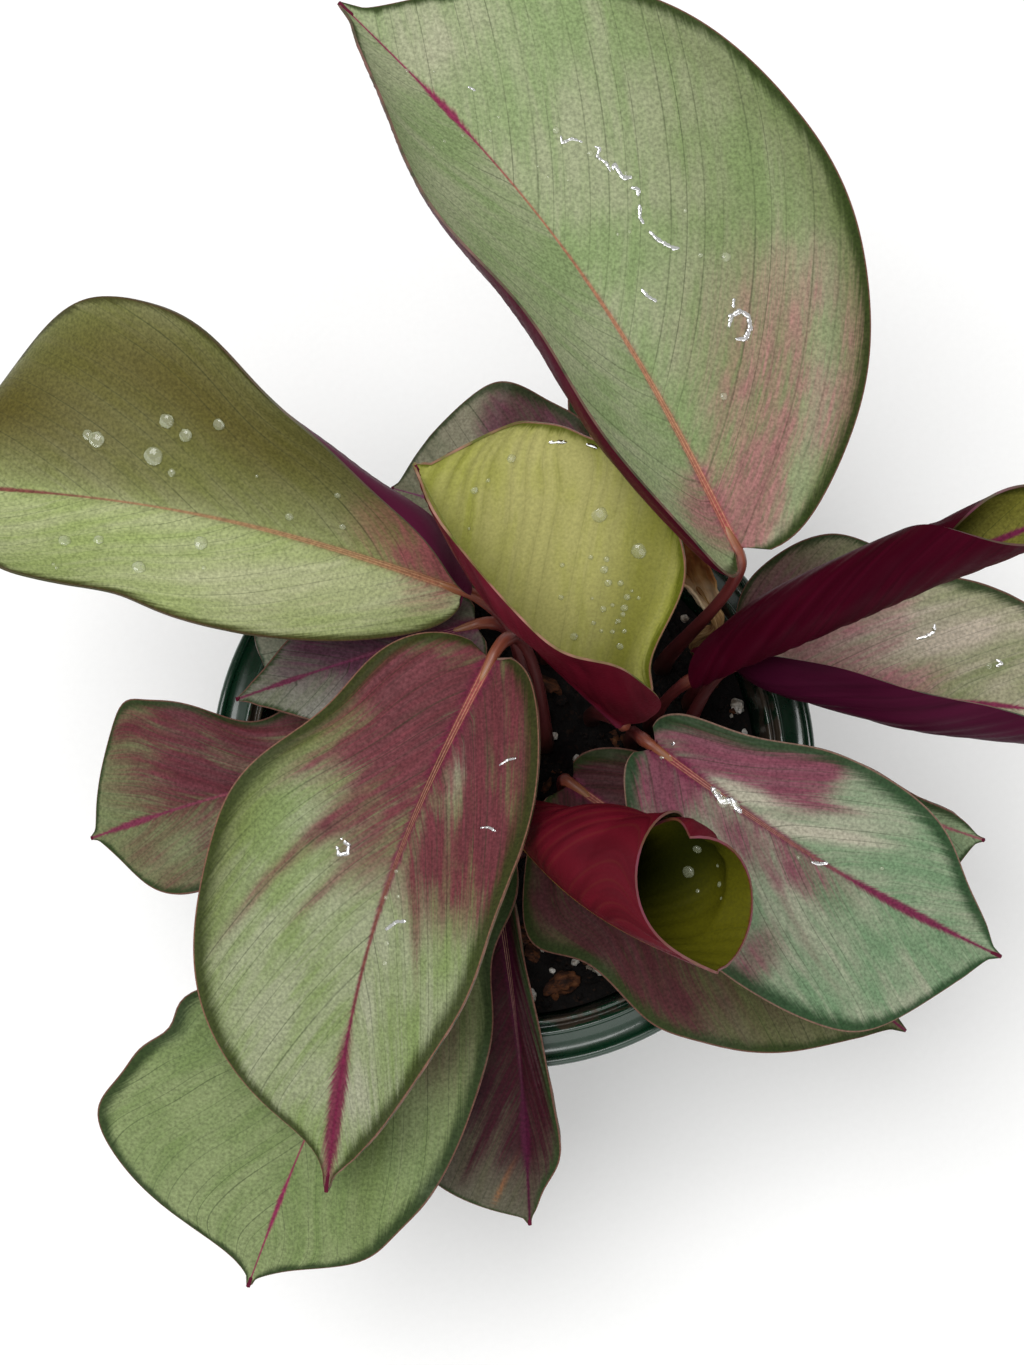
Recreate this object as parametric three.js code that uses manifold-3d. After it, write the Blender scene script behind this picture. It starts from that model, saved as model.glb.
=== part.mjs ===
// Silver plate calathea in a round green plastic pot, at its real size in millimetres.
// +Z is up, the origin is the middle of the pot's flat base, and +Y points away from the
// side the plant is looked at from. Eighteen leaves and one dried leaf stand on their own
// stalks, each stalk in a plain hole in the potting mix.
import * as THREE from 'three';
import { mergeVertices } from 'three/addons/utils/BufferGeometryUtils.js';
import Module from 'manifold-3d';

const wasm = await Module();
wasm.setup();

// Driving dimensions of the pot: its rim is a turned-over band, RIM_DROP deep, that stands
// out past a thin tapered wall
const RIM_RADIUS = 75;
const RIM_DROP = 15;
const RIM_WALL = 2.2;
const POT_HEIGHT = 118;
const POT_SIDES = 36;
const WALL_TOP_RADIUS = 65;
const WALL_TOP_DROP = 5.4;
const FLOOR_THICKNESS = 3;
const BASE_RADIUS = 49.5;
const INNER_BASE_RADIUS = 48.5;
const LIP_RADIUS = 63.6;
const LIP_DROP = 2;
const DRAIN_RADIUS = 4;
const DRAIN_CIRCLE = 32;
const DRAIN_COUNT = 6;
const DRAIN_SIDES = 10;

// Driving dimensions of the potting mix
const SOIL_LEVEL = 105;
const SOIL_HOLLOW = 1.5;
const SOIL_RINGS = 6;
const SOIL_LUMP = 0.7;
const SOIL_MOUND = 2.2;
const MOUND_REACH = 30;
const CROWN = [20, 8];

// Driving dimensions of the stalks
const STALK_FOOT_RADIUS = 2.4;
const STALK_NECK_RADIUS = 1.5;
const STALK_DEPTH = 12;
const STALK_COLLAR = 2;
const STALK_SIDES = 6;
const STALK_STEPS = 6;
const STALK_RISE = 0.45;
const HOLE_RISE = 20;

// Driving dimensions of the blades
const BLADE_THICKNESS = 0.8;
const MIDRIB_DEPTH = 1.2;
const NECK_HALF_WIDTH = 1.3;
const POINT_HALF_WIDTH = 0.35;
const SECTION_STEPS = 40;
const ROLL_INNER = 0.8;
const ROLL_LIMIT = { left: 200, right: 228 };
const GRIDS = {
  open: { rows: 15, columns: 4 },
  rolled: { rows: 15, columns: 6 },
  small: { rows: 9, columns: 3 },
};

// Shares that shape every blade: where the taper closes and how sharply, the width and the
// length of the drawn-out point, how far up the blade the basal lobes reach, how far the
// right margin's waves run ahead of the left one's, and how much the rows gather at the ends
const TAPER_CLOSE = 0.95;
const TAPER_POWER = 1.1;
const POINT_WIDTH = 0.11;
const POINT_LENGTH = 0.14;
const LOBE_REACH = 0.3;
const WAVE_LEAD = 0.23;
const ROW_GATHER = 0.6;
const WAVE_FULL = 1.6;

// Clearance between neighbouring pieces
const GAP = 0.3;

// Driving dimensions of the chips of bark and grains of perlite
const CHIP_GAP = 0.48;
const CHIP_SHOWN = 0.45;
const CHIP_SEED = 11;

// Each leaf: where its blade starts and ends, where its stalk stands, how far the midrib
// arches up and sways sideways, the widest half widths left and right, and for each half
// its lift from flat, its curl and its hooked margin in degrees, at the base and at the
// tip. A swell says where along the blade a half is wider or narrower, by how much and over
// how much of the length. A wave is its height, its count along the blade and its phase. A
// roll is the radius of the tube at the base and at the tip.
const LEAVES = [
  {
    name: 'back_large', base: [50, 39, 180], tip: [-38, 153, 214], root: [38, 26], run: 0.12,
    face: [0.05, 0, 1], arch: 5, sway: 7, wide: [46, 61], belly: 0.47, taper: 2.5, lobe: 12,
    left: [26, 43, 52], leftTip: [36, 28, 10], right: [2, 8, -10], rightTip: [0, 0, -10],
    rightSwell: [[0, -14, 0.1]], wave: [1.2, 2.5, 0.1], grid: 'rolled', colour: 0x8e9a76,
  },
  {
    name: 'left_large', base: [-12, 37, 147], tip: [-141, 58, 166], root: [4, 14], arch: 9,
    sway: 4, wide: [26, 46], belly: 0.6, taper: 3, lobe: 3, left: [-22, 14, 0],
    leftTip: [30, 26, 10], leftSwell: [[0.38, 2, 0.12], [0.6, -3, 0.08], [0.8, 4, 0.08]],
    right: [58, 65, 110], rightTip: [-12, -22, -50],
    rightSwell: [[0.12, 10, 0.08], [0.42, -7, 0.1]], wave: [1.5, 2.5, 0.3], grid: 'rolled',
    colour: 0x8b9566,
  },
  {
    name: 'centre_cupped', base: [25, 5, 150], tip: [-21, 50, 212], root: [20, 13], run: 0.12,
    arch: -4, sway: -4, wide: [36, 42.5], belly: 0.47, taper: 6, lobe: 3, left: [88, 40, 40],
    leftTip: [55, 20, 10], leftSwell: [[0.9, -18, 0.12]], right: [14, 30, 20],
    rightTip: [0, 5, 5], rightSwell: [[0.08, -19, 0.1], [0.8, -4, 0.08], [0.97, 30, 0.05]],
    wave: [1.0, 2.5, 0.3], grid: 'rolled', colour: 0x9a9a5e,
  },
  {
    name: 'right_rolled', base: [45, 18, 140], tip: [121, 40, 222], root: [35, 11],
    face: [-0.3, 0.2, 1], arch: 2, wide: [22, 28], belly: 0.5, roll: [4.8, 8.2], left: [0, 0, 0],
    right: [0, 0, 0], wave: [0.3, 2, 0], grid: 'rolled', colour: 0x4a1220,
  },
  {
    name: 'right_folded', base: [55, 21, 134], tip: [147, 6, 145], root: [43, 8], run: 0.2,
    arch: 5, sway: 2, wide: [28, 32], belly: 0.46, lobe: 3, left: [8, 8, 0], leftTip: [15, 10, 0],
    right: [20, 150, 0], rightTip: [10, 110, 0], wave: [1.0, 3, 0.2], grid: 'rolled',
    colour: 0x8ea383,
  },
  {
    name: 'right_back_low', base: [56, 29, 126], tip: [102, 42, 126], root: [45, 17], arch: 5,
    wide: [18, 12], belly: 0.5, left: [8, -8, 0], right: [8, -8, 0], grid: 'small',
    colour: 0x8a7e72,
  },
  {
    name: 'front_left_large', base: [-5, 18, 160], tip: [-43, -103, 140], root: [8, 6],
    face: [-0.25, 0, 1], arch: 9, sway: 5, wide: [30, 42], belly: 0.44, lobe: 6,
    left: [10, 12, 0], leftSwell: [[0.7, -3, 0.15]], right: [20, -18, -6],
    rightSwell: [[0.2, -8, 0.12], [0.95, -24, 0.06]], wave: [1.3, 2.5, 0.2], grid: 'open',
    colour: 0x84795f,
  },
  {
    name: 'front_left_low', base: [-8, -17, 131], tip: [-63, -126, 119], root: [2, -14],
    run: 0.15, arch: 6, sway: 4, wide: [33.5, 44], belly: 0.66, taper: 3.4, lobe: 4,
    left: [12, -10, 0], leftSwell: [[0.2, -8, 0.1], [0.8, -4, 0.1], [0.97, -16, 0.06]],
    right: [14, -12, 0],
    rightSwell: [[0.42, -18, 0.1], [0.6, -4, 0.04], [0.8, 6, 0.08], [0.97, -26, 0.05]],
    wave: [2.4, 3.2, 0], grid: 'open', colour: 0x84906a,
  },
  {
    name: 'front_low', base: [-4, -31, 122], tip: [4, -112, 113], root: [9, -20],
    face: [0.2, 0, 1], arch: 7, wide: [9, 28], belly: 0.6, taper: 3.8, lobe: 3, left: [30, 0, 0],
    leftSwell: [[0.3, -5, 0.3], [0.92, -4, 0.08]], right: [0, -10, 0], wave: [1.5, 2, 0],
    grid: 'open', colour: 0x6d4a4c,
  },
  {
    name: 'left_low', base: [-22, 1, 119], tip: [-104, -19, 117], root: [-3, 4], arch: 5, sway: 2,
    wide: [21, 28], belly: 0.66, taper: 3.4, lobe: 3, left: [8, -10, 0],
    leftSwell: [[0.97, -5, 0.05]], right: [8, -10, 0],
    rightSwell: [[0.45, -12, 0.18], [0.8, 3, 0.06]], wave: [1.6, 2.6, 0.3], grid: 'open',
    colour: 0x7b6a5e,
  },
  {
    name: 'left_small', base: [-9, 31, 136], tip: [-67, 13, 133], root: [2, 22], arch: 4,
    wide: [20, 16], belly: 0.4, taper: 1.5, lobe: 3, left: [8, -5, 0], right: [8, -5, 0],
    wave: [1.5, 2.5, 0.2], grid: 'small', colour: 0x7c6668,
  },
  {
    name: 'left_back_low', base: [-23, 52, 129], tip: [-61, 20, 126], root: [8, 29], arch: 3,
    wide: [14, 16], belly: 0.6, taper: 4, lobe: 3, left: [8, 0, 0], right: [8, 0, 0],
    wave: [1, 2, 0], grid: 'small', colour: 0x8b9384,
  },
  {
    name: 'back_left_low', base: [23, 49, 127], tip: [-30, 66, 132], root: [16, 30], arch: 5,
    wide: [18, 32], belly: 0.58, taper: 3, lobe: 3, left: [8, -5, 0], right: [12, -10, 0],
    wave: [2.2, 3, 0.1], grid: 'open', colour: 0x857075,
  },
  {
    name: 'back_small', base: [31, 62, 121], tip: [20, 110, 123], root: [27, 30], arch: 3,
    wide: [11, 10], left: [8, 0, 0], right: [8, 0, 0], grid: 'small', colour: 0x6f7d55,
  },
  {
    name: 'front_right_large', base: [33, 0, 144], tip: [115, -49, 136], root: [30, 7], run: 0.2,
    face: [-0.1, 0.1, 1], arch: 6, sway: 4, wide: [24, 34], belly: 0.5, lobe: 9,
    left: [22, -5, 0], leftSwell: [[0.15, -6, 0.15], [0.85, -4, 0.1]], right: [6, -8, -10],
    rightSwell: [[0, -10, 0.12], [0.8, 4, 0.12]], wave: [1.3, 2.6, 0.3], grid: 'open',
    colour: 0x8f9d8c,
  },
  {
    name: 'right_low', base: [45, 0, 131], tip: [115, -20, 122], root: [40, 3], arch: 4,
    wide: [8, 26], belly: 0.5, taper: 3.2, lobe: 3, left: [6, 0, 0],
    leftSwell: [[0.75, -3, 0.15]], right: [6, 0, 0], rightSwell: [[0.8, 8, 0.12]],
    wave: [1.5, 2.5, 0.2], grid: 'open', colour: 0x86917b,
  },
  {
    name: 'front_right_low', base: [14, -6, 123], tip: [95, -66, 119], root: [13, -7], run: 0.25,
    arch: 5, wide: [22, 33], belly: 0.44, lobe: 8, left: [0, -8, 0], right: [6, -10, 0],
    rightSwell: [[0.14, 14, 0.1], [0.5, 2, 0.1]], wave: [2, 2.6, 0.1], grid: 'open',
    colour: 0x80706a,
  },
  {
    name: 'centre_funnel', base: [-2, -16, 139], tip: [42, -56, 204], root: [-5, -4], run: 0.25,
    face: [0.3, 1, 0.1], arch: -4, sway: 3, wide: [33, 48], belly: 0.62, roll: [3, 18],
    left: [0, 0, 0], leftSwell: [[0.13, -14, 0.2], [0.82, 22, 0.15]], right: [0, 0, 0],
    rightSwell: [[0.1, -26, 0.25], [0.93, -32, 0.16]], wave: [0.4, 2, 0], grid: 'rolled',
    colour: 0x6b2430,
  },
  {
    name: 'dried', base: [48, 36, 133], tip: [16, 83, 148], root: [47, 33], face: [-0.4, 0, 1],
    arch: 5, wide: [8, 9], belly: 0.4, taper: 2, lobe: 1, left: [50, 60, 0], right: [30, 40, 0],
    grid: 'small', colour: 0xa98c66,
  },
];

// Coarse pieces lying on the potting mix: place, half sizes and turn
const CHIPS = [
  { name: 'bark_chip_front', place: [12, -54], size: [4.6, 2.6, 1.6], turn: 0.5, bark: true },
  { name: 'bark_chip_right', place: [50, 2], size: [4.0, 2.8, 1.5], turn: -0.6, bark: true },
  { name: 'bark_chip_left', place: [-46, 18], size: [4.4, 2.4, 1.5], turn: 1.3, bark: true },
  { name: 'perlite_front', place: [22, -50], size: [2.3, 2.0, 1.7], turn: 0.3 },
  { name: 'perlite_front_edge', place: [4, -57], size: [1.9, 1.7, 1.4], turn: 1.1 },
  { name: 'perlite_right', place: [57, 16], size: [2.1, 1.8, 1.6], turn: 2.0 },
];

const UP = new THREE.Vector3(0, 0, 1);
const group = new THREE.Group();

// A number that repeats from the same seed
function seededRandom(seed) {
  let state = seed;
  return () => {
    state = (state * 1664525 + 1013904223) % 4294967296;
    return state / 4294967296;
  };
}

function mix(from, to, share) {
  return from + (to - from) * share;
}

function radians(degrees) {
  return degrees * Math.PI / 180;
}

// Closed geometry from points and triangles, turned so that its faces point out
function closedGeometry(points, triangles) {
  const geometry = new THREE.BufferGeometry();
  geometry.setAttribute('position', new THREE.Float32BufferAttribute(points.flat(), 3));
  geometry.setIndex(triangles.flat());
  return faceOut(geometry);
}

function faceOut(geometry) {
  const bare = geometry.clone();
  bare.deleteAttribute('normal');
  bare.deleteAttribute('uv');
  const merged = mergeVertices(bare, 1e-4);
  const index = Array.from(merged.index.array);
  const corner = [0, 1, 2].map(() => new THREE.Vector3());
  const kept = [];
  let volume = 0;
  for (let i = 0; i < index.length; i += 3) {
    const [a, b, c] = index.slice(i, i + 3);
    if (a === b || b === c || c === a) {
      continue;
    }
    [a, b, c].forEach((vertex, k) => corner[k].fromBufferAttribute(merged.attributes.position, vertex));
    volume += corner[0].dot(corner[1].clone().cross(corner[2]));
    kept.push([a, b, c]);
  }
  merged.setIndex(kept.map(([a, b, c]) => (volume < 0 ? [a, c, b] : [a, b, c])).flat());
  return merged;
}

function toSolid(geometry) {
  const outward = faceOut(geometry);
  return new wasm.Manifold(new wasm.Mesh({
    numProp: 3,
    vertProperties: new Float32Array(outward.attributes.position.array),
    triVerts: new Uint32Array(outward.index.array),
  }));
}

function fromSolid(solid) {
  const mesh = solid.getMesh();
  const geometry = new THREE.BufferGeometry();
  geometry.setAttribute('position', new THREE.BufferAttribute(mesh.vertProperties, 3));
  geometry.setIndex(new THREE.BufferAttribute(mesh.triVerts, 1));
  return geometry;
}

function addPiece(name, geometry, colour, roughness) {
  const material = new THREE.MeshStandardMaterial({ color: colour, roughness, metalness: 0 });
  const mesh = new THREE.Mesh(geometry, material);
  mesh.name = name;
  group.add(mesh);
}

// Share of the full half width at each place along the blade: a round shoulder up to the
// belly, then a taper that ends in a short drawn-out point
function outline(leaf, t) {
  if (t < leaf.belly) {
    return Math.sqrt(Math.max(0, 1 - (1 - t / leaf.belly) ** 2));
  }
  const u = (t - leaf.belly) / (1 - leaf.belly);
  const body = Math.max(0, 1 - Math.min(1, u / TAPER_CLOSE) ** leaf.taper) ** TAPER_POWER;
  const point = POINT_WIDTH * Math.min(1, (1 - u) / POINT_LENGTH);
  return Math.hypot(body, point) / Math.hypot(1, POINT_WIDTH);
}

// Half width of the blade, with the swellings and waists that its margin has
function halfWidth(leaf, t, side) {
  let full = leaf.wide[side === 'left' ? 0 : 1];
  for (const [where, swell, reach] of leaf[`${side}Swell`]) {
    full += swell * Math.exp(-(((t - where) / reach) ** 2));
  }
  return full * outline(leaf, t) + mix(NECK_HALF_WIDTH, POINT_HALF_WIDTH, t);
}

// The midrib's place and directions at each share of its length
function midrib(leaf, t) {
  const base = new THREE.Vector3(...leaf.base);
  const chord = new THREE.Vector3(...leaf.tip).sub(base);
  const heading = chord.clone().normalize();
  const rise = new THREE.Vector3(...leaf.face);
  rise.addScaledVector(heading, -rise.dot(heading)).normalize();
  const side = heading.clone().cross(rise);
  const bow = rise.clone().multiplyScalar(leaf.arch).addScaledVector(side, leaf.sway);
  const point = base.addScaledVector(chord, t).addScaledVector(bow, Math.sin(Math.PI * t));
  const along = chord.addScaledVector(bow, Math.PI * Math.cos(Math.PI * t)).normalize();
  const right = along.clone().cross(rise).normalize();
  const up = right.clone().cross(along);
  return { point, along, right, up };
}

// Half of the blade's cross-section, walked outward from the midrib in short steps
function halfSection(leaf, t, side) {
  const width = halfWidth(leaf, t, side);
  const atTip = leaf[`${side}Tip`];
  const [lift, curl, hook] = leaf[side].map((angle, k) => radians(mix(angle, atTip[k], t)));
  let turn = (share) => lift + curl * share + hook * share ** 4;
  if (leaf.roll) {
    const wanted = mix(leaf.roll[0], leaf.roll[1], t) * (side === 'left' ? ROLL_INNER : 1);
    const radius = Math.max(wanted, width / radians(ROLL_LIMIT[side]));
    turn = (share) => lift + share * width / radius;
  }
  const places = [{ out: 0, up: 0, angle: turn(0) }];
  for (let k = 1; k <= SECTION_STEPS; k += 1) {
    const angle = turn((k - 0.5) / SECTION_STEPS);
    const last = places[k - 1];
    places.push({
      out: last.out + Math.cos(angle) * width / SECTION_STEPS,
      up: last.up + Math.sin(angle) * width / SECTION_STEPS,
      angle: turn(k / SECTION_STEPS),
    });
  }
  return places;
}

// A place on the blade's middle surface, with the way its upper face looks there: t runs
// from base to tip, share from midrib to margin
function bladePlace(leaf, t, side, share, section, spine) {
  const sign = side === 'left' ? -1 : 1;
  const place = section[Math.round(share * SECTION_STEPS)];
  const [height, count, phase] = leaf.wave;
  const fullness = outline(leaf, t);
  const lead = side === 'left' ? 0 : WAVE_LEAD;
  const ripple = height * share ** 2 * Math.min(1, WAVE_FULL * fullness)
    * Math.sin(2 * Math.PI * (count * t + phase + lead));
  const lobe = leaf.lobe * Math.max(0, 1 - t / LOBE_REACH) ** 2 * Math.sqrt(fullness) * share ** 1.5;
  const facing = spine.up.clone().multiplyScalar(Math.cos(place.angle))
    .addScaledVector(spine.right, -sign * Math.sin(place.angle));
  const point = spine.point.clone()
    .addScaledVector(spine.right, sign * place.out)
    .addScaledVector(spine.up, place.up)
    .addScaledVector(spine.along, -lobe)
    .addScaledVector(facing, ripple);
  return { point, facing };
}

// The blade's middle surface as rows of places from the left margin to the right one
function bladeRows(leaf) {
  const { rows, columns } = GRIDS[leaf.grid];
  const surface = [];
  for (let i = 0; i <= rows; i += 1) {
    const even = i / rows;
    const t = mix(even, 0.5 - 0.5 * Math.cos(Math.PI * even), ROW_GATHER);
    const spine = midrib(leaf, t);
    const left = halfSection(leaf, t, 'left');
    const right = halfSection(leaf, t, 'right');
    const row = [];
    for (let j = -columns; j <= columns; j += 1) {
      const side = j < 0 ? 'left' : 'right';
      const section = j < 0 ? left : right;
      row.push(bladePlace(leaf, t, side, Math.abs(j) / columns, section, spine));
    }
    surface.push({ t, row });
  }
  return surface;
}

// A blade of even thickness with a raised midrib on its underside
function bladeGeometry(leaf) {
  const surface = bladeRows(leaf);
  const rows = surface.length;
  const columns = surface[0].row.length;
  const middle = (columns - 1) / 2;
  const top = [];
  const bottom = [];
  for (let i = 0; i < rows; i += 1) {
    for (let j = 0; j < columns; j += 1) {
      const { point, facing } = surface[i].row[j];
      const across = surface[i].row[Math.min(j + 1, columns - 1)].point.clone()
        .sub(surface[i].row[Math.max(j - 1, 0)].point);
      const ahead = surface[Math.min(i + 1, rows - 1)].row[j].point.clone()
        .sub(surface[Math.max(i - 1, 0)].row[j].point);
      const atEnd = i === 0 || i === rows - 1;
      const normal = atEnd ? facing : across.cross(ahead).normalize();
      const rib = j === middle ? MIDRIB_DEPTH * (1 - surface[i].t) ** 0.8 : 0;
      top.push(point.clone().addScaledVector(normal, BLADE_THICKNESS / 2).toArray());
      bottom.push(point.clone().addScaledVector(normal, -BLADE_THICKNESS / 2 - rib).toArray());
    }
  }
  const under = top.length;
  const triangles = [];
  for (let i = 0; i < rows - 1; i += 1) {
    for (let j = 0; j < columns - 1; j += 1) {
      const a = i * columns + j;
      const b = a + 1;
      const c = b + columns;
      const d = a + columns;
      triangles.push([a, b, c], [a, c, d]);
      triangles.push([a + under, c + under, b + under], [a + under, d + under, c + under]);
    }
  }
  const edge = [];
  for (let j = 0; j < columns - 1; j += 1) {
    edge.push(j);
  }
  for (let i = 0; i < rows - 1; i += 1) {
    edge.push(i * columns + columns - 1);
  }
  for (let j = columns - 1; j > 0; j -= 1) {
    edge.push((rows - 1) * columns + j);
  }
  for (let i = rows - 1; i > 0; i -= 1) {
    edge.push(i * columns);
  }
  edge.forEach((from, k) => {
    const to = edge[(k + 1) % edge.length];
    triangles.push([from, from + under, to + under], [from, to + under, to]);
  });
  return closedGeometry([...top, ...bottom], triangles);
}

// A tube of even-sided rings through the given places, closed at both ends, with its last
// ring square to the given heading
function tubeGeometry(places, radii, sides, endHeading) {
  const points = [];
  const reference = new THREE.Vector3(1, 0, 0);
  places.forEach((place, k) => {
    const heading = k === places.length - 1
      ? endHeading.clone()
      : places[k + 1].clone().sub(places[Math.max(k - 1, 0)]).normalize();
    reference.addScaledVector(heading, -reference.dot(heading)).normalize();
    const other = heading.clone().cross(reference);
    for (let n = 0; n < sides; n += 1) {
      const angle = 2 * Math.PI * n / sides;
      points.push(place.clone()
        .addScaledVector(reference, radii[k] * Math.cos(angle))
        .addScaledVector(other, radii[k] * Math.sin(angle)).toArray());
    }
  });
  const triangles = [];
  for (let k = 0; k < places.length - 1; k += 1) {
    for (let n = 0; n < sides; n += 1) {
      const a = k * sides + n;
      const b = k * sides + (n + 1) % sides;
      triangles.push([a, b, b + sides], [a, b + sides, a + sides]);
    }
  }
  const last = (places.length - 1) * sides;
  for (let n = 1; n < sides - 1; n += 1) {
    triangles.push([0, n + 1, n], [last, last + n, last + n + 1]);
  }
  return closedGeometry(points, triangles);
}

// A stalk stands upright in the mix, then bends over to run into the midrib
function stalkGeometry(leaf) {
  const neck = midrib(leaf, 0);
  const foot = new THREE.Vector3(leaf.root[0], leaf.root[1], SOIL_LEVEL - STALK_DEPTH);
  const collar = new THREE.Vector3(leaf.root[0], leaf.root[1], SOIL_LEVEL + STALK_COLLAR);
  const end = neck.point.clone().addScaledVector(neck.along, -GAP);
  const reach = end.distanceTo(collar);
  const curve = new THREE.CubicBezierCurve3(
    collar,
    collar.clone().addScaledVector(UP, STALK_RISE * reach),
    end.clone().addScaledVector(neck.along, -leaf.run * reach),
    end,
  );
  const places = [foot, ...curve.getPoints(STALK_STEPS)];
  const radii = places.map((_, k) => {
    const share = Math.max(0, k - 1) / STALK_STEPS;
    return mix(STALK_FOOT_RADIUS, STALK_NECK_RADIUS, share);
  });
  return tubeGeometry(places, radii, STALK_SIDES, neck.along);
}

// The plain hole that a stalk stands in
function stalkHole(leaf) {
  const radius = STALK_FOOT_RADIUS + GAP / Math.cos(Math.PI / STALK_SIDES);
  const bottom = new THREE.Vector3(leaf.root[0], leaf.root[1], SOIL_LEVEL - STALK_DEPTH - GAP);
  const top = new THREE.Vector3(leaf.root[0], leaf.root[1], SOIL_LEVEL + HOLE_RISE);
  return toSolid(tubeGeometry([bottom, top], [radius, radius], STALK_SIDES, UP));
}

// Radius of the pot's inner wall at a height
function innerRadius(z) {
  const wallHeight = POT_HEIGHT - LIP_DROP - FLOOR_THICKNESS;
  return mix(INNER_BASE_RADIUS, LIP_RADIUS, (z - FLOOR_THICKNESS) / wallHeight);
}

// The pot: a thin tapered wall, a flat floor with drain holes and a broad turned-over rim
// with a bead on its outer edge, a dished band, a raised ring, a groove and an inner lip
function potGeometry() {
  const top = POT_HEIGHT;
  const rim = RIM_RADIUS;
  const underRim = top - RIM_DROP;
  const wallTop = top - WALL_TOP_DROP;
  const foot = [[0, 0], [BASE_RADIUS, 0], [BASE_RADIUS + 1, 1]];
  const skirt = [
    [WALL_TOP_RADIUS, wallTop], [rim - RIM_WALL - 0.2, wallTop],
    [rim - RIM_WALL, underRim], [rim - 0.8, underRim], [rim - 0.4, top - 3],
  ];
  const bead = [[rim, top - 1.2], [rim - 0.4, top - 0.2], [rim - 1.4, top - 0.2], [rim - 2, top - 1.2]];
  const ring = [[69.2, top - 1.4], [67.8, top - 0.8], [67.3, top], [66.4, top], [66, top - 0.8]];
  const groove = [[65.7, top - 2.6], [65, top - 2.6]];
  const lip = [[64.8, top - 0.6], [64.4, top], [LIP_RADIUS + 0.2, top - 0.2], [LIP_RADIUS, top - LIP_DROP]];
  const inside = [[INNER_BASE_RADIUS, FLOOR_THICKNESS], [0, FLOOR_THICKNESS]];
  const profile = [...foot, ...skirt, ...bead, ...ring, ...groove, ...lip, ...inside];
  const shell = new THREE.LatheGeometry(profile.map(([r, z]) => new THREE.Vector2(r, z)), POT_SIDES);
  shell.rotateX(Math.PI / 2);
  let pot = toSolid(shell);
  for (let k = 0; k < DRAIN_COUNT; k += 1) {
    const angle = 2 * Math.PI * k / DRAIN_COUNT;
    const depth = 4 * FLOOR_THICKNESS;
    const drain = new THREE.CylinderGeometry(DRAIN_RADIUS, DRAIN_RADIUS, depth, DRAIN_SIDES);
    drain.rotateX(Math.PI / 2);
    drain.translate(DRAIN_CIRCLE * Math.cos(angle), DRAIN_CIRCLE * Math.sin(angle), 0);
    pot = pot.subtract(toSolid(drain));
  }
  return fromSolid(pot);
}

// Height of the potting mix: a low mound round the crown and small lumps
function soilHeight(x, y) {
  const reach = Math.hypot(x - CROWN[0], y - CROWN[1]) / MOUND_REACH;
  const mound = SOIL_MOUND * Math.exp(-reach * reach);
  const lumps = Math.sin(0.31 * x + 1.3) * Math.cos(0.27 * y - 0.4)
    + 0.6 * Math.sin(0.53 * y + 0.22 * x);
  return SOIL_LEVEL - SOIL_HOLLOW + mound + SOIL_LUMP * lumps;
}

function soilGeometry() {
  const floor = FLOOR_THICKNESS + GAP;
  const points = [[0, 0, soilHeight(0, 0)]];
  for (let ring = 1; ring <= SOIL_RINGS; ring += 1) {
    for (let n = 0; n < POT_SIDES; n += 1) {
      const angle = 2 * Math.PI * n / POT_SIDES;
      const radius = (innerRadius(SOIL_LEVEL - 3) - GAP) * ring / SOIL_RINGS;
      const x = radius * Math.sin(angle);
      const y = radius * Math.cos(angle);
      points.push([x, y, soilHeight(x, y)]);
    }
  }
  for (let n = 0; n < POT_SIDES; n += 1) {
    const angle = 2 * Math.PI * n / POT_SIDES;
    const radius = innerRadius(floor) - 2 * GAP;
    points.push([radius * Math.sin(angle), radius * Math.cos(angle), floor]);
  }
  points.push([0, 0, floor]);
  const triangles = [];
  for (let n = 0; n < POT_SIDES; n += 1) {
    const next = (n + 1) % POT_SIDES;
    triangles.push([0, 1 + next, 1 + n]);
    for (let ring = 0; ring < SOIL_RINGS; ring += 1) {
      const inner = 1 + ring * POT_SIDES;
      const outer = inner + POT_SIDES;
      triangles.push([inner + n, inner + next, outer + next], [inner + n, outer + next, outer + n]);
    }
    const foot = 1 + SOIL_RINGS * POT_SIDES;
    triangles.push([points.length - 1, foot + n, foot + next]);
  }
  return closedGeometry(points, triangles);
}

// A rough chip of bark or grain of perlite, lying half in the mix
function chipGeometry(chip, seed, extra) {
  const random = seededRandom(seed);
  const stone = faceOut(new THREE.IcosahedronGeometry(1, 0));
  const position = stone.attributes.position;
  for (let k = 0; k < position.count; k += 1) {
    const swell = 0.85 + 0.3 * random();
    position.setXYZ(k, ...[position.getX(k), position.getY(k), position.getZ(k)]
      .map((value, axis) => value * (chip.size[axis] * swell + extra)));
  }
  stone.rotateZ(chip.turn);
  const [x, y] = chip.place;
  stone.translate(x, y, soilHeight(x, y) + CHIP_SHOWN * chip.size[2]);
  return stone;
}

const DEFAULTS = {
  face: [0, 0, 1], sway: 0, lobe: 0, taper: 2.6, belly: 0.42, wave: [1, 2.5, 0], run: 0.35,
  leftSwell: [], rightSwell: [],
};
const leaves = LEAVES.map((leaf) => ({
  ...DEFAULTS, leftTip: leaf.left, rightTip: leaf.right, ...leaf,
}));

addPiece('pot', potGeometry(), 0x0c2a1c, 0.25);

let soil = toSolid(soilGeometry());
for (const leaf of leaves) {
  soil = soil.subtract(stalkHole(leaf));
}
CHIPS.forEach((chip, k) => {
  soil = soil.subtract(toSolid(chipGeometry(chip, CHIP_SEED + k, CHIP_GAP)));
});
addPiece('soil', fromSolid(soil), 0x2a2118, 0.95);

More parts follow.
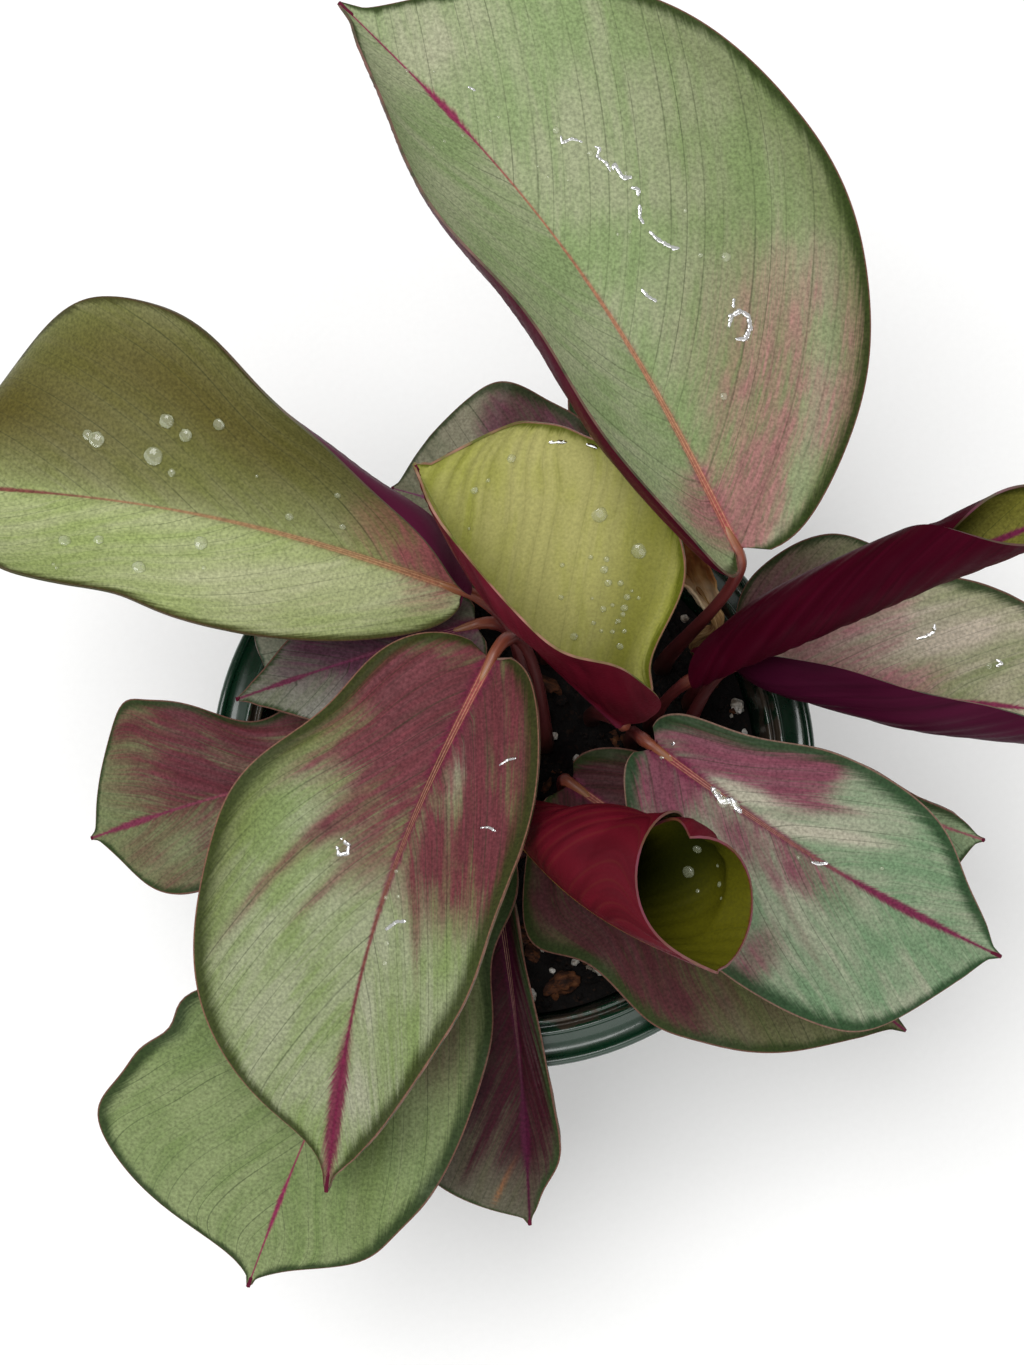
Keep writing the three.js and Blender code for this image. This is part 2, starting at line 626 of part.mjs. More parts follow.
CHIPS.forEach((chip, k) => {
  addPiece(chip.name, chipGeometry(chip, CHIP_SEED + k, 0), chip.bark ? 0x5a3a22 : 0xd9d5c8, 0.9);
});

for (const leaf of leaves) {
  const dried = leaf.name === 'dried';
  addPiece(`stalk_${leaf.name}`, stalkGeometry(leaf), dried ? 0x8a6a45 : 0x5a2420, 0.5);
  addPiece(`blade_${leaf.name}`, bladeGeometry(leaf), leaf.colour, dried ? 0.85 : 0.45);
}

export default group;
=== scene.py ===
"""Silver plate calathea in a green nursery pot: how it looks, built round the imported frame.

Lengths in the tables are millimetres, as a grower would measure them, and MM turns them to
metres. The origin is the middle of the pot's flat base, +Z is up and +Y points away from
the side the plant is looked at from.
"""

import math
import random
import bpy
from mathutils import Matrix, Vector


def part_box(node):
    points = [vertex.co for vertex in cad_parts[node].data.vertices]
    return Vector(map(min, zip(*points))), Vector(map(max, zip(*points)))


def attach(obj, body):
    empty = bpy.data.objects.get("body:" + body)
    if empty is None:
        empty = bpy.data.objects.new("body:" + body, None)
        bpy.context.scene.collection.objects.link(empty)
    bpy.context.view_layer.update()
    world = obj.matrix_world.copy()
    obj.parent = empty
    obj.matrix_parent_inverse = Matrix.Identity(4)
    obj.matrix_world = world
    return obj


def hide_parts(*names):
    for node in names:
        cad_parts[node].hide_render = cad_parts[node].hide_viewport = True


bl_info = {
    "name": "Potted silver plate calathea",
    "version": (1, 0, 0),
    "blender": (4, 5, 0),
    "location": "3D View > Sidebar > Calathea",
    "description": "Builds a potted calathea with its blades, stalks, pot, mix and water",
    "category": "Add Mesh",
}

from types import SimpleNamespace

import bpy
import numpy as np
from bpy.props import FloatProperty, FloatVectorProperty, IntProperty, PointerProperty
from mathutils import Vector, noise

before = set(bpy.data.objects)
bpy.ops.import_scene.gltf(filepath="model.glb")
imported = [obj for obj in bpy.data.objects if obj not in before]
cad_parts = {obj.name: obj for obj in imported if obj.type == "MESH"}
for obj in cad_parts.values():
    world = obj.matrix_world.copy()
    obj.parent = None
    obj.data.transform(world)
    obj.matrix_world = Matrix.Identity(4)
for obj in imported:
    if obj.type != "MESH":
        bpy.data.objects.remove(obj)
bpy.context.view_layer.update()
BODY = "root"
MM = 0.001

# Shares and sizes that shape every blade, the same as in the solids
NECK_HALF_WIDTH = 1.3
POINT_HALF_WIDTH = 0.35
SECTION_STEPS = 40
ROLL_INNER = 0.8
ROLL_LIMIT = {"left": 200, "right": 228}
TAPER_CLOSE = 0.95
TAPER_POWER = 1.1
POINT_WIDTH = 0.11
POINT_LENGTH = 0.14
LOBE_REACH = 0.3
WAVE_LEAD = 0.23
WAVE_FULL = 1.6
MIDRIB_DEPTH = 1.2
MIDRIB_THINS = 0.8

# How far along the midrib a vein runs on its way to the margin, as a share of the length
VEIN_SLANT = 0.32

# Sizes of the finer relief that only the looks carry. The pleats fade towards the midrib, in
# millimetres, and towards the margin, as a share of the half width. The rows of a blade's
# grid close up towards its ends by a share.
PLEAT_HEIGHT = 0.16
PLEAT_FROM_RIB = 4
PLEAT_FROM_MARGIN = 0.12
CHANNEL_DEPTH = 0.35
RIB_SPREAD = 1.1
ROWS_TO_ENDS = 0.6

# How the veins stray from an even spacing, in veins: the left half's step from the right
# half's, reached at a share of the half width, and waves with a height, a pace and a turn
VEIN_STEP = 0.37
VEIN_STEP_SHARE = 0.15
VEIN_DRIFT = ((0.22, 1.7, 1), (0.13, 2.9, 2))
VEINS_BETWEEN_LEAVES = 40

# How a cloud of colour thins out from its middle, and how sharply a streak ends at the midrib
CLOUD_FADE = 0.7
CLOUD_POWER = 1.5
STREAK_END = 30

# The coloured midrib's half width at the stalk and at its thin end, and the share of the
# length where it has thinned
RIB_START = 1.4
RIB_END = 0.3
RIB_FADES = 0.55

# The coloured midrib widens with the blade, from a share of its full width to all of it
SMALL_RIB = 0.55
LARGE_LENGTH = 150

# The widest that the margin's dark band gets, as a share of the half width
MARGIN_ROOM = 0.35

# Wrinkles of the dead blade: heights in millimetres and how many to a millimetre
DEAD_WRINKLES = ((1.3, 0.14), (0.5, 0.45))

# Water: how tall the smallest drop and one of DROP_FLAT radius stand by their radius, how
# far a drop is dented, the radius from which it is finely divided, and its foot in the skin
DROP_SMALL = 0.75
DROP_LARGE = 0.4
DROP_FLAT = 2
DROP_DENT = 0.15
DROP_DENT_PACE = 1.2
DROP_FINE = 0.9
WATER_FOOT = 0.12

# A run of water: its height by its half width, the step between its rings and their
# corners, how blunt its ends are, and how its beads swell along it
RUN_HEIGHT = 0.45
RUN_STEP = 0.25
RUN_FEWEST = 6
RUN_SIDES = 10
RUN_BLUNTNESS = 6
RUN_BEAD = 0.5
RUN_BEAD_PACE = 0.35

# Potting mix: the level it is filled to, how far it has sunk below that, its lumps, and the
# mound round the crown
SOIL_LEVEL = 105
SOIL_HOLLOW = 1.5
SOIL_LUMP = 0.7
SOIL_MOUND = 2.2
MOUND_REACH = 30
CROWN = (20, 8)

# Stalks: how deep they stand, how far above the mix they stay straight, and what share of
# their reach they go on upward, their rings and corners, and the tail under the midrib with
# its length, its drop and its rings' shares. The sheath ends at a share of the length, and
# the swollen joint lies at another.
STALK_DEPTH = 12
STALK_COLLAR = 2
STALK_RISE = 0.45
STALK_RINGS = 44
STALK_SIDES = 20
STALK_TAIL = 7
STALK_TAIL_DROP = 0.7
TAIL_SHARES = (0.15, 1, 8)
SHEATH_SHARE = 0.55
JOINT_SWELL = 0.28
JOINT_SHARE = 0.86
JOINT_REACH = 0.08

# Space between a stalk's end and its blade, the same as in the solids
GAP = 0.3

# The mix inside the pot: its radius at the top and at the floor, the floor's height, how far
# its side starts below the level, and its crumbs, each with a height, a pace and a layer
MIX_TOP_RADIUS = 61.6
MIX_FLOOR_RADIUS = 48.0
MIX_FLOOR = 3.3
MIX_WALL_DROP = 2.5
MIX_CRUMBS = ((1.1, 0.34, 0), (0.7, 0.9, 7))

# Drain holes: how many, the radius of their circle and their own radius
DRAINS = 6
DRAIN_CIRCLE = 32
DRAIN_RADIUS = 4
POT_SIDES = 160

# Coarse pieces on the mix: finish, place, half sizes and turn, as in the solids
CHIPS = {
    "bark_chip_front": ("bark", (12, -54), (4.6, 2.6, 1.6), 0.5),
    "bark_chip_right": ("bark", (50, 2), (4.0, 2.8, 1.5), -0.6),
    "bark_chip_left": ("bark", (-46, 18), (4.4, 2.4, 1.5), 1.3),
    "perlite_front": ("perlite", (22, -50), (2.3, 2.0, 1.7), 0.3),
    "perlite_front_edge": ("perlite", (4, -57), (1.9, 1.7, 1.4), 1.1),
    "perlite_right": ("perlite", (57, 16), (2.1, 1.8, 1.6), 2.0),
}
CHIP_ROUGHNESS = {"bark": 0.45, "perlite": 0.3}
CHIP_RISE = 0.45

# Litter strewn on the mix: finish, one piece of it to how many crumbs, its radii in
# millimetres, its flatness sideways and upward, its roughness, and how far it stands out by
# its radius
LITTER = {
    "peat_crumbs": ("potting_mix", 1, (0.5, 1.5), ((0.6, 1), (0.5, 0.9)), 0.7, 0.2),
    "bark_litter": ("bark", 8, (1.2, 3.6), ((0.35, 0.7), (0.2, 0.4)), 0.6, 0.25),
    "perlite_litter": ("perlite", 14, (0.5, 1.4), ((0.7, 1), (0.6, 0.9)), 0.4, 0.3),
}
LITTER_CIRCLE = 60
DENT_PACE = 1.7

# Softboxes over the plant and before it, in metres: place, side and share of the key light's
# power, and the place that both are turned to
SOFTBOXES = (("overhead_softbox", (-0.4, 0.15, 1.55), 0.9, 1),
             ("front_softbox", (0.5, -1.1, 1.0), 1.2, 0.35))
LIGHTS_AIM = (0, 0, 0.14)

# The camera's place leans forward by this share of its tilt, so the picture's middle lies a
# little behind the pot's axis
CAMERA_FORWARD = 0.8

# Each leaf as its grower would describe it: where its blade starts and ends, where its stalk
# stands, and how far the stalk runs along the blade's line before it bends, as a share. Face
# is the way the blade looks. Arch and sway bow the midrib upward and to the right. Wide holds
# the half widths left and right, belly the share of the length where they are reached, taper
# how late the blade narrows, and lobe how far its base reaches back. Left and right hold each
# half's lift from flat, its curl and its hooked margin in degrees, at the base and, where
# given, at the tip. A roll gives a rolled blade's radius at the base and at the tip instead.
# A swell is a share of the length, a change of the half width and its reach as a share. A
# wave is the margin's ripple: its height, its count and where it starts.
LEAVES = [
    dict(name="back_large", base=(50, 39, 180), tip=(-38, 153, 214), root=(38, 26), run=0.12,
         face=(0.05, 0, 1), arch=5, sway=7, wide=(46, 61), belly=0.47, taper=2.5, lobe=12,
         left=(26, 43, 52), left_tip=(36, 28, 10), right=(2, 8, -10), right_tip=(0, 0, -10),
         right_swell=((0, -14, 0.1),), wave=(1.2, 2.5, 0.1), size="large"),
    dict(name="left_large", base=(-12, 37, 147), tip=(-141, 58, 166), root=(4, 14),
         arch=9, sway=4, wide=(26, 46), belly=0.6, taper=3, lobe=3,
         left=(-22, 14, 0), left_tip=(30, 26, 10), right=(58, 65, 110),
         right_tip=(-12, -22, -50), left_swell=((0.38, 2, 0.12), (0.6, -3, 0.08), (0.8, 4, 0.08)),
         right_swell=((0.12, 10, 0.08), (0.42, -7, 0.1)),
         wave=(1.5, 2.5, 0.3), size="large"),
    dict(name="centre_cupped", base=(25, 5, 150), tip=(-21, 50, 212), root=(20, 13), run=0.12,
         arch=-4, sway=-4, wide=(36, 42.5), belly=0.47, taper=6, lobe=3,
         left=(88, 40, 40), left_tip=(55, 20, 10), right=(14, 30, 20), right_tip=(0, 5, 5),
         left_swell=((0.9, -18, 0.12),),
         right_swell=((0.08, -19, 0.1), (0.8, -4, 0.08), (0.97, 30, 0.05)), wave=(1.0, 2.5, 0.3),
         size="large"),
    dict(name="right_rolled", base=(45, 18, 140), tip=(121, 40, 222), root=(35, 11),
         face=(-0.3, 0.2, 1), arch=2, wide=(22, 28), belly=0.5, roll=(4.8, 8.2),
         left=(0, 0, 0), right=(0, 0, 0), wave=(0.3, 2, 0), size="large"),
    dict(name="right_folded", base=(55, 21, 134), tip=(147, 6, 145), root=(43, 8), run=0.2,
         arch=5, sway=2, wide=(28, 32), belly=0.46, lobe=3,
         left=(8, 8, 0), left_tip=(15, 10, 0), right=(20, 150, 0),
         right_tip=(10, 110, 0), wave=(1.0, 3, 0.2), size="large"),
    dict(name="right_back_low", base=(56, 29, 126), tip=(102, 42, 126), root=(45, 17),
         arch=5, wide=(18, 12), belly=0.5, left=(8, -8, 0), right=(8, -8, 0), size="small"),
    dict(name="front_left_large", base=(-5, 18, 160), tip=(-43, -103, 140), root=(8, 6),
         face=(-0.25, 0, 1), arch=9, sway=5, wide=(30, 42), belly=0.44, lobe=6,
         left=(10, 12, 0), right=(20, -18, -6), left_swell=((0.7, -3, 0.15),),
         right_swell=((0.2, -8, 0.12), (0.95, -24, 0.06)),
         wave=(1.3, 2.5, 0.2), size="large"),
    dict(name="front_left_low", base=(-8, -17, 131), tip=(-63, -126, 119), root=(2, -14),
         run=0.15, arch=6, sway=4, wide=(33.5, 44), belly=0.66, taper=3.4, lobe=4,
         left=(12, -10, 0), right=(14, -12, 0),
         left_swell=((0.2, -8, 0.1), (0.8, -4, 0.1), (0.97, -16, 0.06)),
         right_swell=((0.42, -18, 0.1), (0.6, -4, 0.04), (0.8, 6, 0.08), (0.97, -26, 0.05)),
         wave=(2.4, 3.2, 0), size="large"),
    dict(name="front_low", base=(-4, -31, 122), tip=(4, -112, 113), root=(9, -20),
         face=(0.2, 0, 1), arch=7, wide=(9, 28), belly=0.6, taper=3.8, lobe=3,
         left=(30, 0, 0), right=(0, -10, 0), left_swell=((0.3, -5, 0.3), (0.92, -4, 0.08)),
         wave=(1.5, 2, 0), size="medium"),
    dict(name="left_low", base=(-22, 1, 119), tip=(-104, -19, 117), root=(-3, 4),
         arch=5, sway=2, wide=(21, 28), belly=0.66, taper=3.4, lobe=3,
         left=(8, -10, 0), right=(8, -10, 0), left_swell=((0.97, -5, 0.05),),
         right_swell=((0.45, -12, 0.18), (0.8, 3, 0.06)), wave=(1.6, 2.6, 0.3),
         size="medium"),
    dict(name="left_small", base=(-9, 31, 136), tip=(-67, 13, 133), root=(2, 22),
         arch=4, wide=(20, 16), belly=0.4, taper=1.5, lobe=3,
         left=(8, -5, 0), right=(8, -5, 0), wave=(1.5, 2.5, 0.2), size="small"),
    dict(name="left_back_low", base=(-23, 52, 129), tip=(-61, 20, 126), root=(8, 29),
         arch=3, wide=(14, 16), belly=0.6, taper=4, lobe=3,
         left=(8, 0, 0), right=(8, 0, 0), wave=(1, 2, 0), size="small"),
    dict(name="back_left_low", base=(23, 49, 127), tip=(-30, 66, 132), root=(16, 30),
         arch=5, wide=(18, 32), belly=0.58, taper=3, lobe=3,
         left=(8, -5, 0), right=(12, -10, 0), wave=(2.2, 3, 0.1), size="medium"),
    dict(name="back_small", base=(31, 62, 121), tip=(20, 110, 123), root=(27, 30),
         arch=3, wide=(11, 10), left=(8, 0, 0), right=(8, 0, 0), size="small"),
    dict(name="front_right_large", base=(33, 0, 144), tip=(115, -49, 136), root=(30, 7),
         run=0.2, face=(-0.1, 0.1, 1), arch=6, sway=4, wide=(24, 34), belly=0.5, lobe=9,
         left=(22, -5, 0), right=(6, -8, -10), left_swell=((0.15, -6, 0.15), (0.85, -4, 0.1)),
         right_swell=((0, -10, 0.12), (0.8, 4, 0.12)), wave=(1.3, 2.6, 0.3), size="large"),
    dict(name="right_low", base=(45, 0, 131), tip=(115, -20, 122), root=(40, 3),
         arch=4, wide=(8, 26), belly=0.5, taper=3.2, lobe=3,
         left=(6, 0, 0), right=(6, 0, 0), left_swell=((0.75, -3, 0.15),),
         right_swell=((0.8, 8, 0.12),), wave=(1.5, 2.5, 0.2), size="medium"),
    dict(name="front_right_low", base=(14, -6, 123), tip=(95, -66, 119), root=(13, -7),
         run=0.25, arch=5, wide=(22, 33), belly=0.44, lobe=8,
         left=(0, -8, 0), right=(6, -10, 0), right_swell=((0.14, 14, 0.1), (0.5, 2, 0.1)),
         wave=(2, 2.6, 0.1), size="medium"),
    dict(name="centre_funnel", base=(-2, -16, 139), tip=(42, -56, 204), root=(-5, -4),
         run=0.25, face=(0.3, 1, 0.1), arch=-4, sway=3, wide=(33, 48), belly=0.62,
         roll=(3, 18), left=(0, 0, 0), right=(0, 0, 0),
         left_swell=((0.13, -14, 0.2), (0.82, 22, 0.15)),
         right_swell=((0.1, -26, 0.25), (0.93, -32, 0.16)), wave=(0.4, 2, 0), size="large"),
    dict(name="dried", base=(48, 36, 133), tip=(16, 83, 148), root=(47, 33),
         face=(-0.4, 0, 1), arch=5, wide=(8, 9), belly=0.4, taper=2, lobe=1,
         left=(50, 60, 0), right=(30, 40, 0), size="small"),
]
LEAF_DEFAULTS = dict(face=(0, 0, 1), sway=0, lobe=0, taper=2.6, belly=0.42, wave=(1, 2.5, 0),
                     run=0.35, roll=None, left_swell=(), right_swell=())
for leaf in LEAVES:
    filled = {**LEAF_DEFAULTS, **leaf}
    leaf.update(filled)
    leaf.setdefault("left_tip", leaf["left"])
    leaf.setdefault("right_tip", leaf["right"])
LEAF = {leaf["name"]: leaf for leaf in LEAVES}

# How finely each size of blade is divided: columns from margin to margin, rows base to tip
DIVISIONS = {"large": (80, 120), "medium": (56, 84), "small": (40, 60)}

# What each blade is coloured like. A streak is where its middle lies, as a share of the
# length and of the half width (left of the midrib is negative), how far it runs along the
# veins as a share of the half width, how wide it is as a share of the length, and how
# strong it is. Plums are streaks of pigment. The next streaks lay the deep colour: partly
# the leaf's own deeper olive and brown, partly painted shade where a half of the blade
# faces away from the light. The pale streaks are partly silver and partly painted sheen,
# a highlight where the blade faces the light.
# A cloud of pigment has its middle in the same shares, its reach along as a share of the
# length and across as a share of the half width, and its strength. The spindle is the magenta
# end of the midrib: its middle and reach as shares of the length, and its half width in
# millimetres. One whose middle is past the tip doesn't show. Streak is how strong the dark
# hairlines are, and rib_flush how much pigment lies beside the midrib.
LOOK_DEFAULTS = dict(
    green="77905c", silver="959c7c", plum="5e2a36", deep="4c5626", margin="26371a",
    margin_mm=2.6, edge="6e4a40", ribs=("8e4644", "8a5848", "6e2444"), rib_flush=0.5,
    under="450a1e", under_rib="5c1c30", plums=(), clouds=(), shades_and_deep_tones=(), silver_and_sheen=(),
    slot="leaf_silver", streak=0.6, spindle=(0.77, 0.13, 1.1),
)
LOOKS = {
    "back_large": dict(
        green="7e9062", silver="9c9e82", plum="8c605e", margin="26340f", margin_mm=2.6,
        ribs=("9c4c4a", "9a6850", "7e2a4a"), spindle=(0.78, 0.07, 1.2),
        clouds=((0.05, 0.3, 0.07, 0.5, 0.9), (0.14, 0.6, 0.12, 0.5, 0.6),
                (0.28, 0.6, 0.12, 0.5, 0.25), (0.07, -0.15, 0.07, 0.3, 0.6)),
        plums=((0.1, 0.5, 0.3, 0.02, 0.4), (0.2, 0.25, 0.25, 0.015, 0.3)),
        shades_and_deep_tones=((0.22, 0.95, 0.15, 0.15, 0.7), (0.6, 0.9, 0.1, 0.2, 0.3),
               (0.4, 0.55, 0.5, 0.2, 0.35)),
        # Painted sheen: the pale patch near the tip on the right half is a highlight
        silver_and_sheen=((0.85, 0.3, 0.4, 0.1, 0.4), (0.1, 0.7, 0.25, 0.06, 0.5)),
    ),
    "left_large": dict(
        green="8e9c60", silver="a8ac84", plum="8a4c50", deep="4e451a", edge="4b3a26",
        ribs=("98604a", "8e6c4c", "704038"), margin="3a3a18", margin_mm=1.2,
        spindle=(0.82, 0.09, 0.7),
        clouds=((0.09, 0.35, 0.12, 0.5, 0.75), (0.06, -0.3, 0.07, 0.4, 0.65)),
        plums=((0.17, -0.45, 0.35, 0.02, 0.7), (0.11, -0.5, 0.3, 0.02, 0.5)),
        # Painted shade: the deep patches darken the right half, the far one, which is backlit and
        # faces away from the light
        shades_and_deep_tones=((0.85, 0.6, 0.9, 0.35, 0.95), (0.5, 0.6, 0.5, 0.3, 0.9),
               (0.25, 0.8, 0.3, 0.2, 0.7)),
        silver_and_sheen=((0.25, -0.35, 0.4, 0.1, 0.8), (0.1, -0.4, 0.4, 0.06, 0.6)), under="501a32",
    ),
    # Painted backlight: the yellow greens and silver and the pale patches in the middle stand in
    # for light shining through the blade, and the deep patch low on its right half is painted
    # shade
    "centre_cupped": dict(
        green="9a9c46", silver="b0ac6c", deep="6e6e24", margin="565c14", margin_mm=1.6,
        edge="9a6a5c", ribs=("a99a5c", "a9a35f", "a3a860"), rib_flush=0.0,
        under="4e0c1a", shades_and_deep_tones=((0.04, 0.3, 0.9, 0.07, 0.7), (0.5, 0.98, 0.07, 0.5, 0.5),
                               (0.2, 0.5, 0.6, 0.12, 0.6)),
        silver_and_sheen=((0.3, 0.5, 0.5, 0.2, 0.5), (0.6, 0.3, 0.5, 0.2, 0.7)),
        slot="leaf_young", streak=0.15, spindle=(2, 0.1, 1),
    ),
    "right_rolled": dict(
        green="6c6a2a", silver="7a7638", margin="3a3c12", margin_mm=2,
        edge="5a2434", under="340212", under_rib="40101f", slot="leaf_underside",
    ),
    "right_folded": dict(
        green="848c62", silver="c0b4a2", plum="9c606c", margin_mm=2.0,
        ribs=("a05050", "a45c60", "7e2c4c"),
        clouds=((0.26, -0.45, 0.18, 0.7, 0.85), (0.4, -0.2, 0.12, 0.3, 0.6)),
        plums=((0.33, -0.4, 0.3, 0.03, 0.6),),
        # Painted sheen: the strong pale patch on the left half is a silver-white highlight
        silver_and_sheen=((0.3, -0.45, 0.4, 0.08, 0.6), (0.5, -0.5, 0.4, 0.1, 0.9),
               (0.15, -0.6, 0.4, 0.05, 0.7)),
        under="380a20", under_rib="4c1830", spindle=(0.65, 0.1, 1.0),
    ),
    "right_back_low": dict(
        green="6c7050", silver="847a66", plum="6f4450", slot="leaf_plum",
        clouds=((0.2, -0.4, 0.3, 0.8, 0.6),), margin_mm=1.4,
    ),
    "front_left_large": dict(
        green="728250", silver="94967e", plum="5c2630", deep="4e541a", margin="2c3412",
        margin_mm=3.4, edge="7c5648", ribs=("a05450", "64342e", "66203a"), rib_flush=0.9,
        clouds=((0.32, -0.6, 0.15, 0.6, 0.95), (0.07, -0.5, 0.12, 0.8, 0.95),
                (0.18, -0.8, 0.15, 0.5, 0.9), (0.07, 0.5, 0.12, 0.7, 0.95),
                (0.19, 0.45, 0.13, 0.55, 0.8), (0.33, 0.2, 0.12, 0.2, 0.6)),
        plums=((0.38, 0.42, 0.35, 0.028, 0.9), (0.5, 0.35, 0.12, 0.02, 0.5),
               (0.2, 0.6, 0.2, 0.025, 0.5), (0.47, -0.3, 0.3, 0.02, 0.5)),
        shades_and_deep_tones=((0.4, 0.92, 0.15, 0.25, 0.6),),
        # Painted sheen: the pale patches beside the midrib near the base are a highlight
        silver_and_sheen=((0.2, -0.2, 0.15, 0.05, 0.6), (0.15, 0.05, 0.15, 0.05, 0.35),
               (0.75, -0.2, 0.5, 0.15, 0.5)),
        slot="leaf_plum", spindle=(0.84, 0.16, 2.6),
    ),
    "front_left_low": dict(
        green="68794a", silver="828c64", plum="5a3a3c", margin="26351a", margin_mm=2.8,
        ribs=("8c3050", "8a5848", "7a2848"), rib_flush=0.3, spindle=(0.83, 0.08, 0.8),
        clouds=((0.35, -0.6, 0.15, 0.4, 0.4),), shades_and_deep_tones=((0.6, -0.4, 0.4, 0.08, 0.3),),
        slot="leaf_green",
    ),
    "front_low": dict(
        green="4c4a38", silver="5c584c", plum="2e0514", deep="8a5a34",
        ribs=("3c1026", "3c1026", "401028"), rib_flush=0.9, margin_mm=1.2, slot="leaf_plum",
        clouds=((0.3, 0.4, 0.4, 0.9, 0.95), (0.3, -0.5, 0.6, 0.9, 1.0)),
        plums=((0.68, 0.3, 0.4, 0.04, 0.7),),
        shades_and_deep_tones=((0.88, 0.35, 0.3, 0.012, 0.8),), spindle=(0.72, 0.14, 1.8),
    ),
    "left_low": dict(
        green="6a744e", silver="747858", plum="56202c", ribs=("7c3c48", "7a3844", "6c2840"),
        rib_flush=0.8, margin_mm=1.6, slot="leaf_plum", spindle=(0.86, 0.1, 1.4),
        clouds=((0.35, 0.45, 0.55, 1.0, 0.95), (0.35, -0.5, 0.5, 0.9, 0.8)),
        plums=((0.8, 0.75, 0.3, 0.12, 0.6),),
        silver_and_sheen=((0.5, 0.3, 0.3, 0.08, 0.5), (0.7, -0.4, 0.4, 0.08, 0.6)),
    ),
    "left_small": dict(
        green="686c58", silver="84807a", plum="502a3c", ribs=("6c284c", "6c284c", "642840"),
        rib_flush=0.9, margin_mm=0.8, slot="leaf_plum",
        clouds=((0.3, 0.5, 0.5, 0.9, 0.9), (0.2, -0.5, 0.3, 0.7, 0.8)),
        silver_and_sheen=((0.5, 0.35, 0.4, 0.08, 0.6),),
    ),
    "left_back_low": dict(
        green="828c74", silver="9a9684", plum="7a5c5c", margin="465e48", margin_mm=1.2,
        clouds=((0.2, 0.4, 0.3, 0.9, 0.5),),
    ),
    "back_left_low": dict(
        green="70725a", silver="84806c", plum="5c3440", margin="343f26", margin_mm=2.2,
        ribs=("6c344a", "6c344a", "703858"), slot="leaf_plum",
        clouds=((0.3, 0.5, 0.3, 0.8, 0.9), (0.6, 0.8, 0.12, 0.3, 0.6)),
        plums=((0.9, 0.3, 0.3, 0.03, 0.6),),
        silver_and_sheen=((0.82, 0.75, 0.3, 0.08, 0.7),),
    ),
    "back_small": dict(green="56684c", silver="68745c", margin_mm=1.6),
    "front_right_large": dict(
        green="668060", silver="a09c8a", plum="6c3646", margin="1e3a1e", margin_mm=3.0,
        edge="7a5c50", ribs=("944448", "704040", "66223e"), rib_flush=0.9,
        clouds=((0.12, -0.6, 0.16, 0.6, 0.8), (0.32, -0.6, 0.1, 0.45, 0.75),
                (0.3, -0.85, 0.12, 0.3, 0.5), (0.07, 0.4, 0.11, 0.6, 0.85),
                (0.4, 0.14, 0.17, 0.18, 0.85), (0.47, 0.8, 0.05, 0.25, 0.6)),
        plums=((0.42, -0.45, 0.15, 0.03, 0.6), (0.48, 0.4, 0.4, 0.02, 0.6)),
        silver_and_sheen=((0.45, -0.2, 0.2, 0.05, 0.7), (0.24, -0.18, 0.2, 0.07, 1.0),
               (0.36, -0.1, 0.1, 0.04, 0.7), (0.4, 0.2, 0.4, 0.06, 0.4)),
        spindle=(0.72, 0.2, 1.6),
    ),
    "right_low": dict(
        green="6c8060", silver="808e6c", margin_mm=1.8, rib_flush=0.7,
        ribs=("8a4c52", "8a4c52", "8a5058"),
    ),
    "front_right_low": dict(
        green="545a36", silver="66644a", plum="462026", margin="2a3818", margin_mm=2.4,
        slot="leaf_plum", rib_flush=0.7,
        clouds=((0.3, 0.5, 0.35, 0.9, 0.9), (0.15, -0.5, 0.3, 0.7, 0.8)),
        plums=((0.5, 0.75, 0.4, 0.04, 0.6),),
    ),
    "centre_funnel": dict(
        green="4c4a0c", silver="57540f", deep="1c2206", margin="5a3418",
        margin_mm=0.8, edge="6a2a3a", ribs=("5a5410", "5a5410", "5a5410"), rib_flush=0.0,
        under="560e1b", under_rib="8c6c34", slot="leaf_underside", streak=0.15,
        # Painted shade: the deep patch darkens the left of the funnel's mouth
        spindle=(2, 0.1, 1), shades_and_deep_tones=((0.7, -0.7, 1.0, 0.2, 0.9),),
    ),
}
for name, look in LOOKS.items():
    LOOKS[name] = {**LOOK_DEFAULTS, **look}

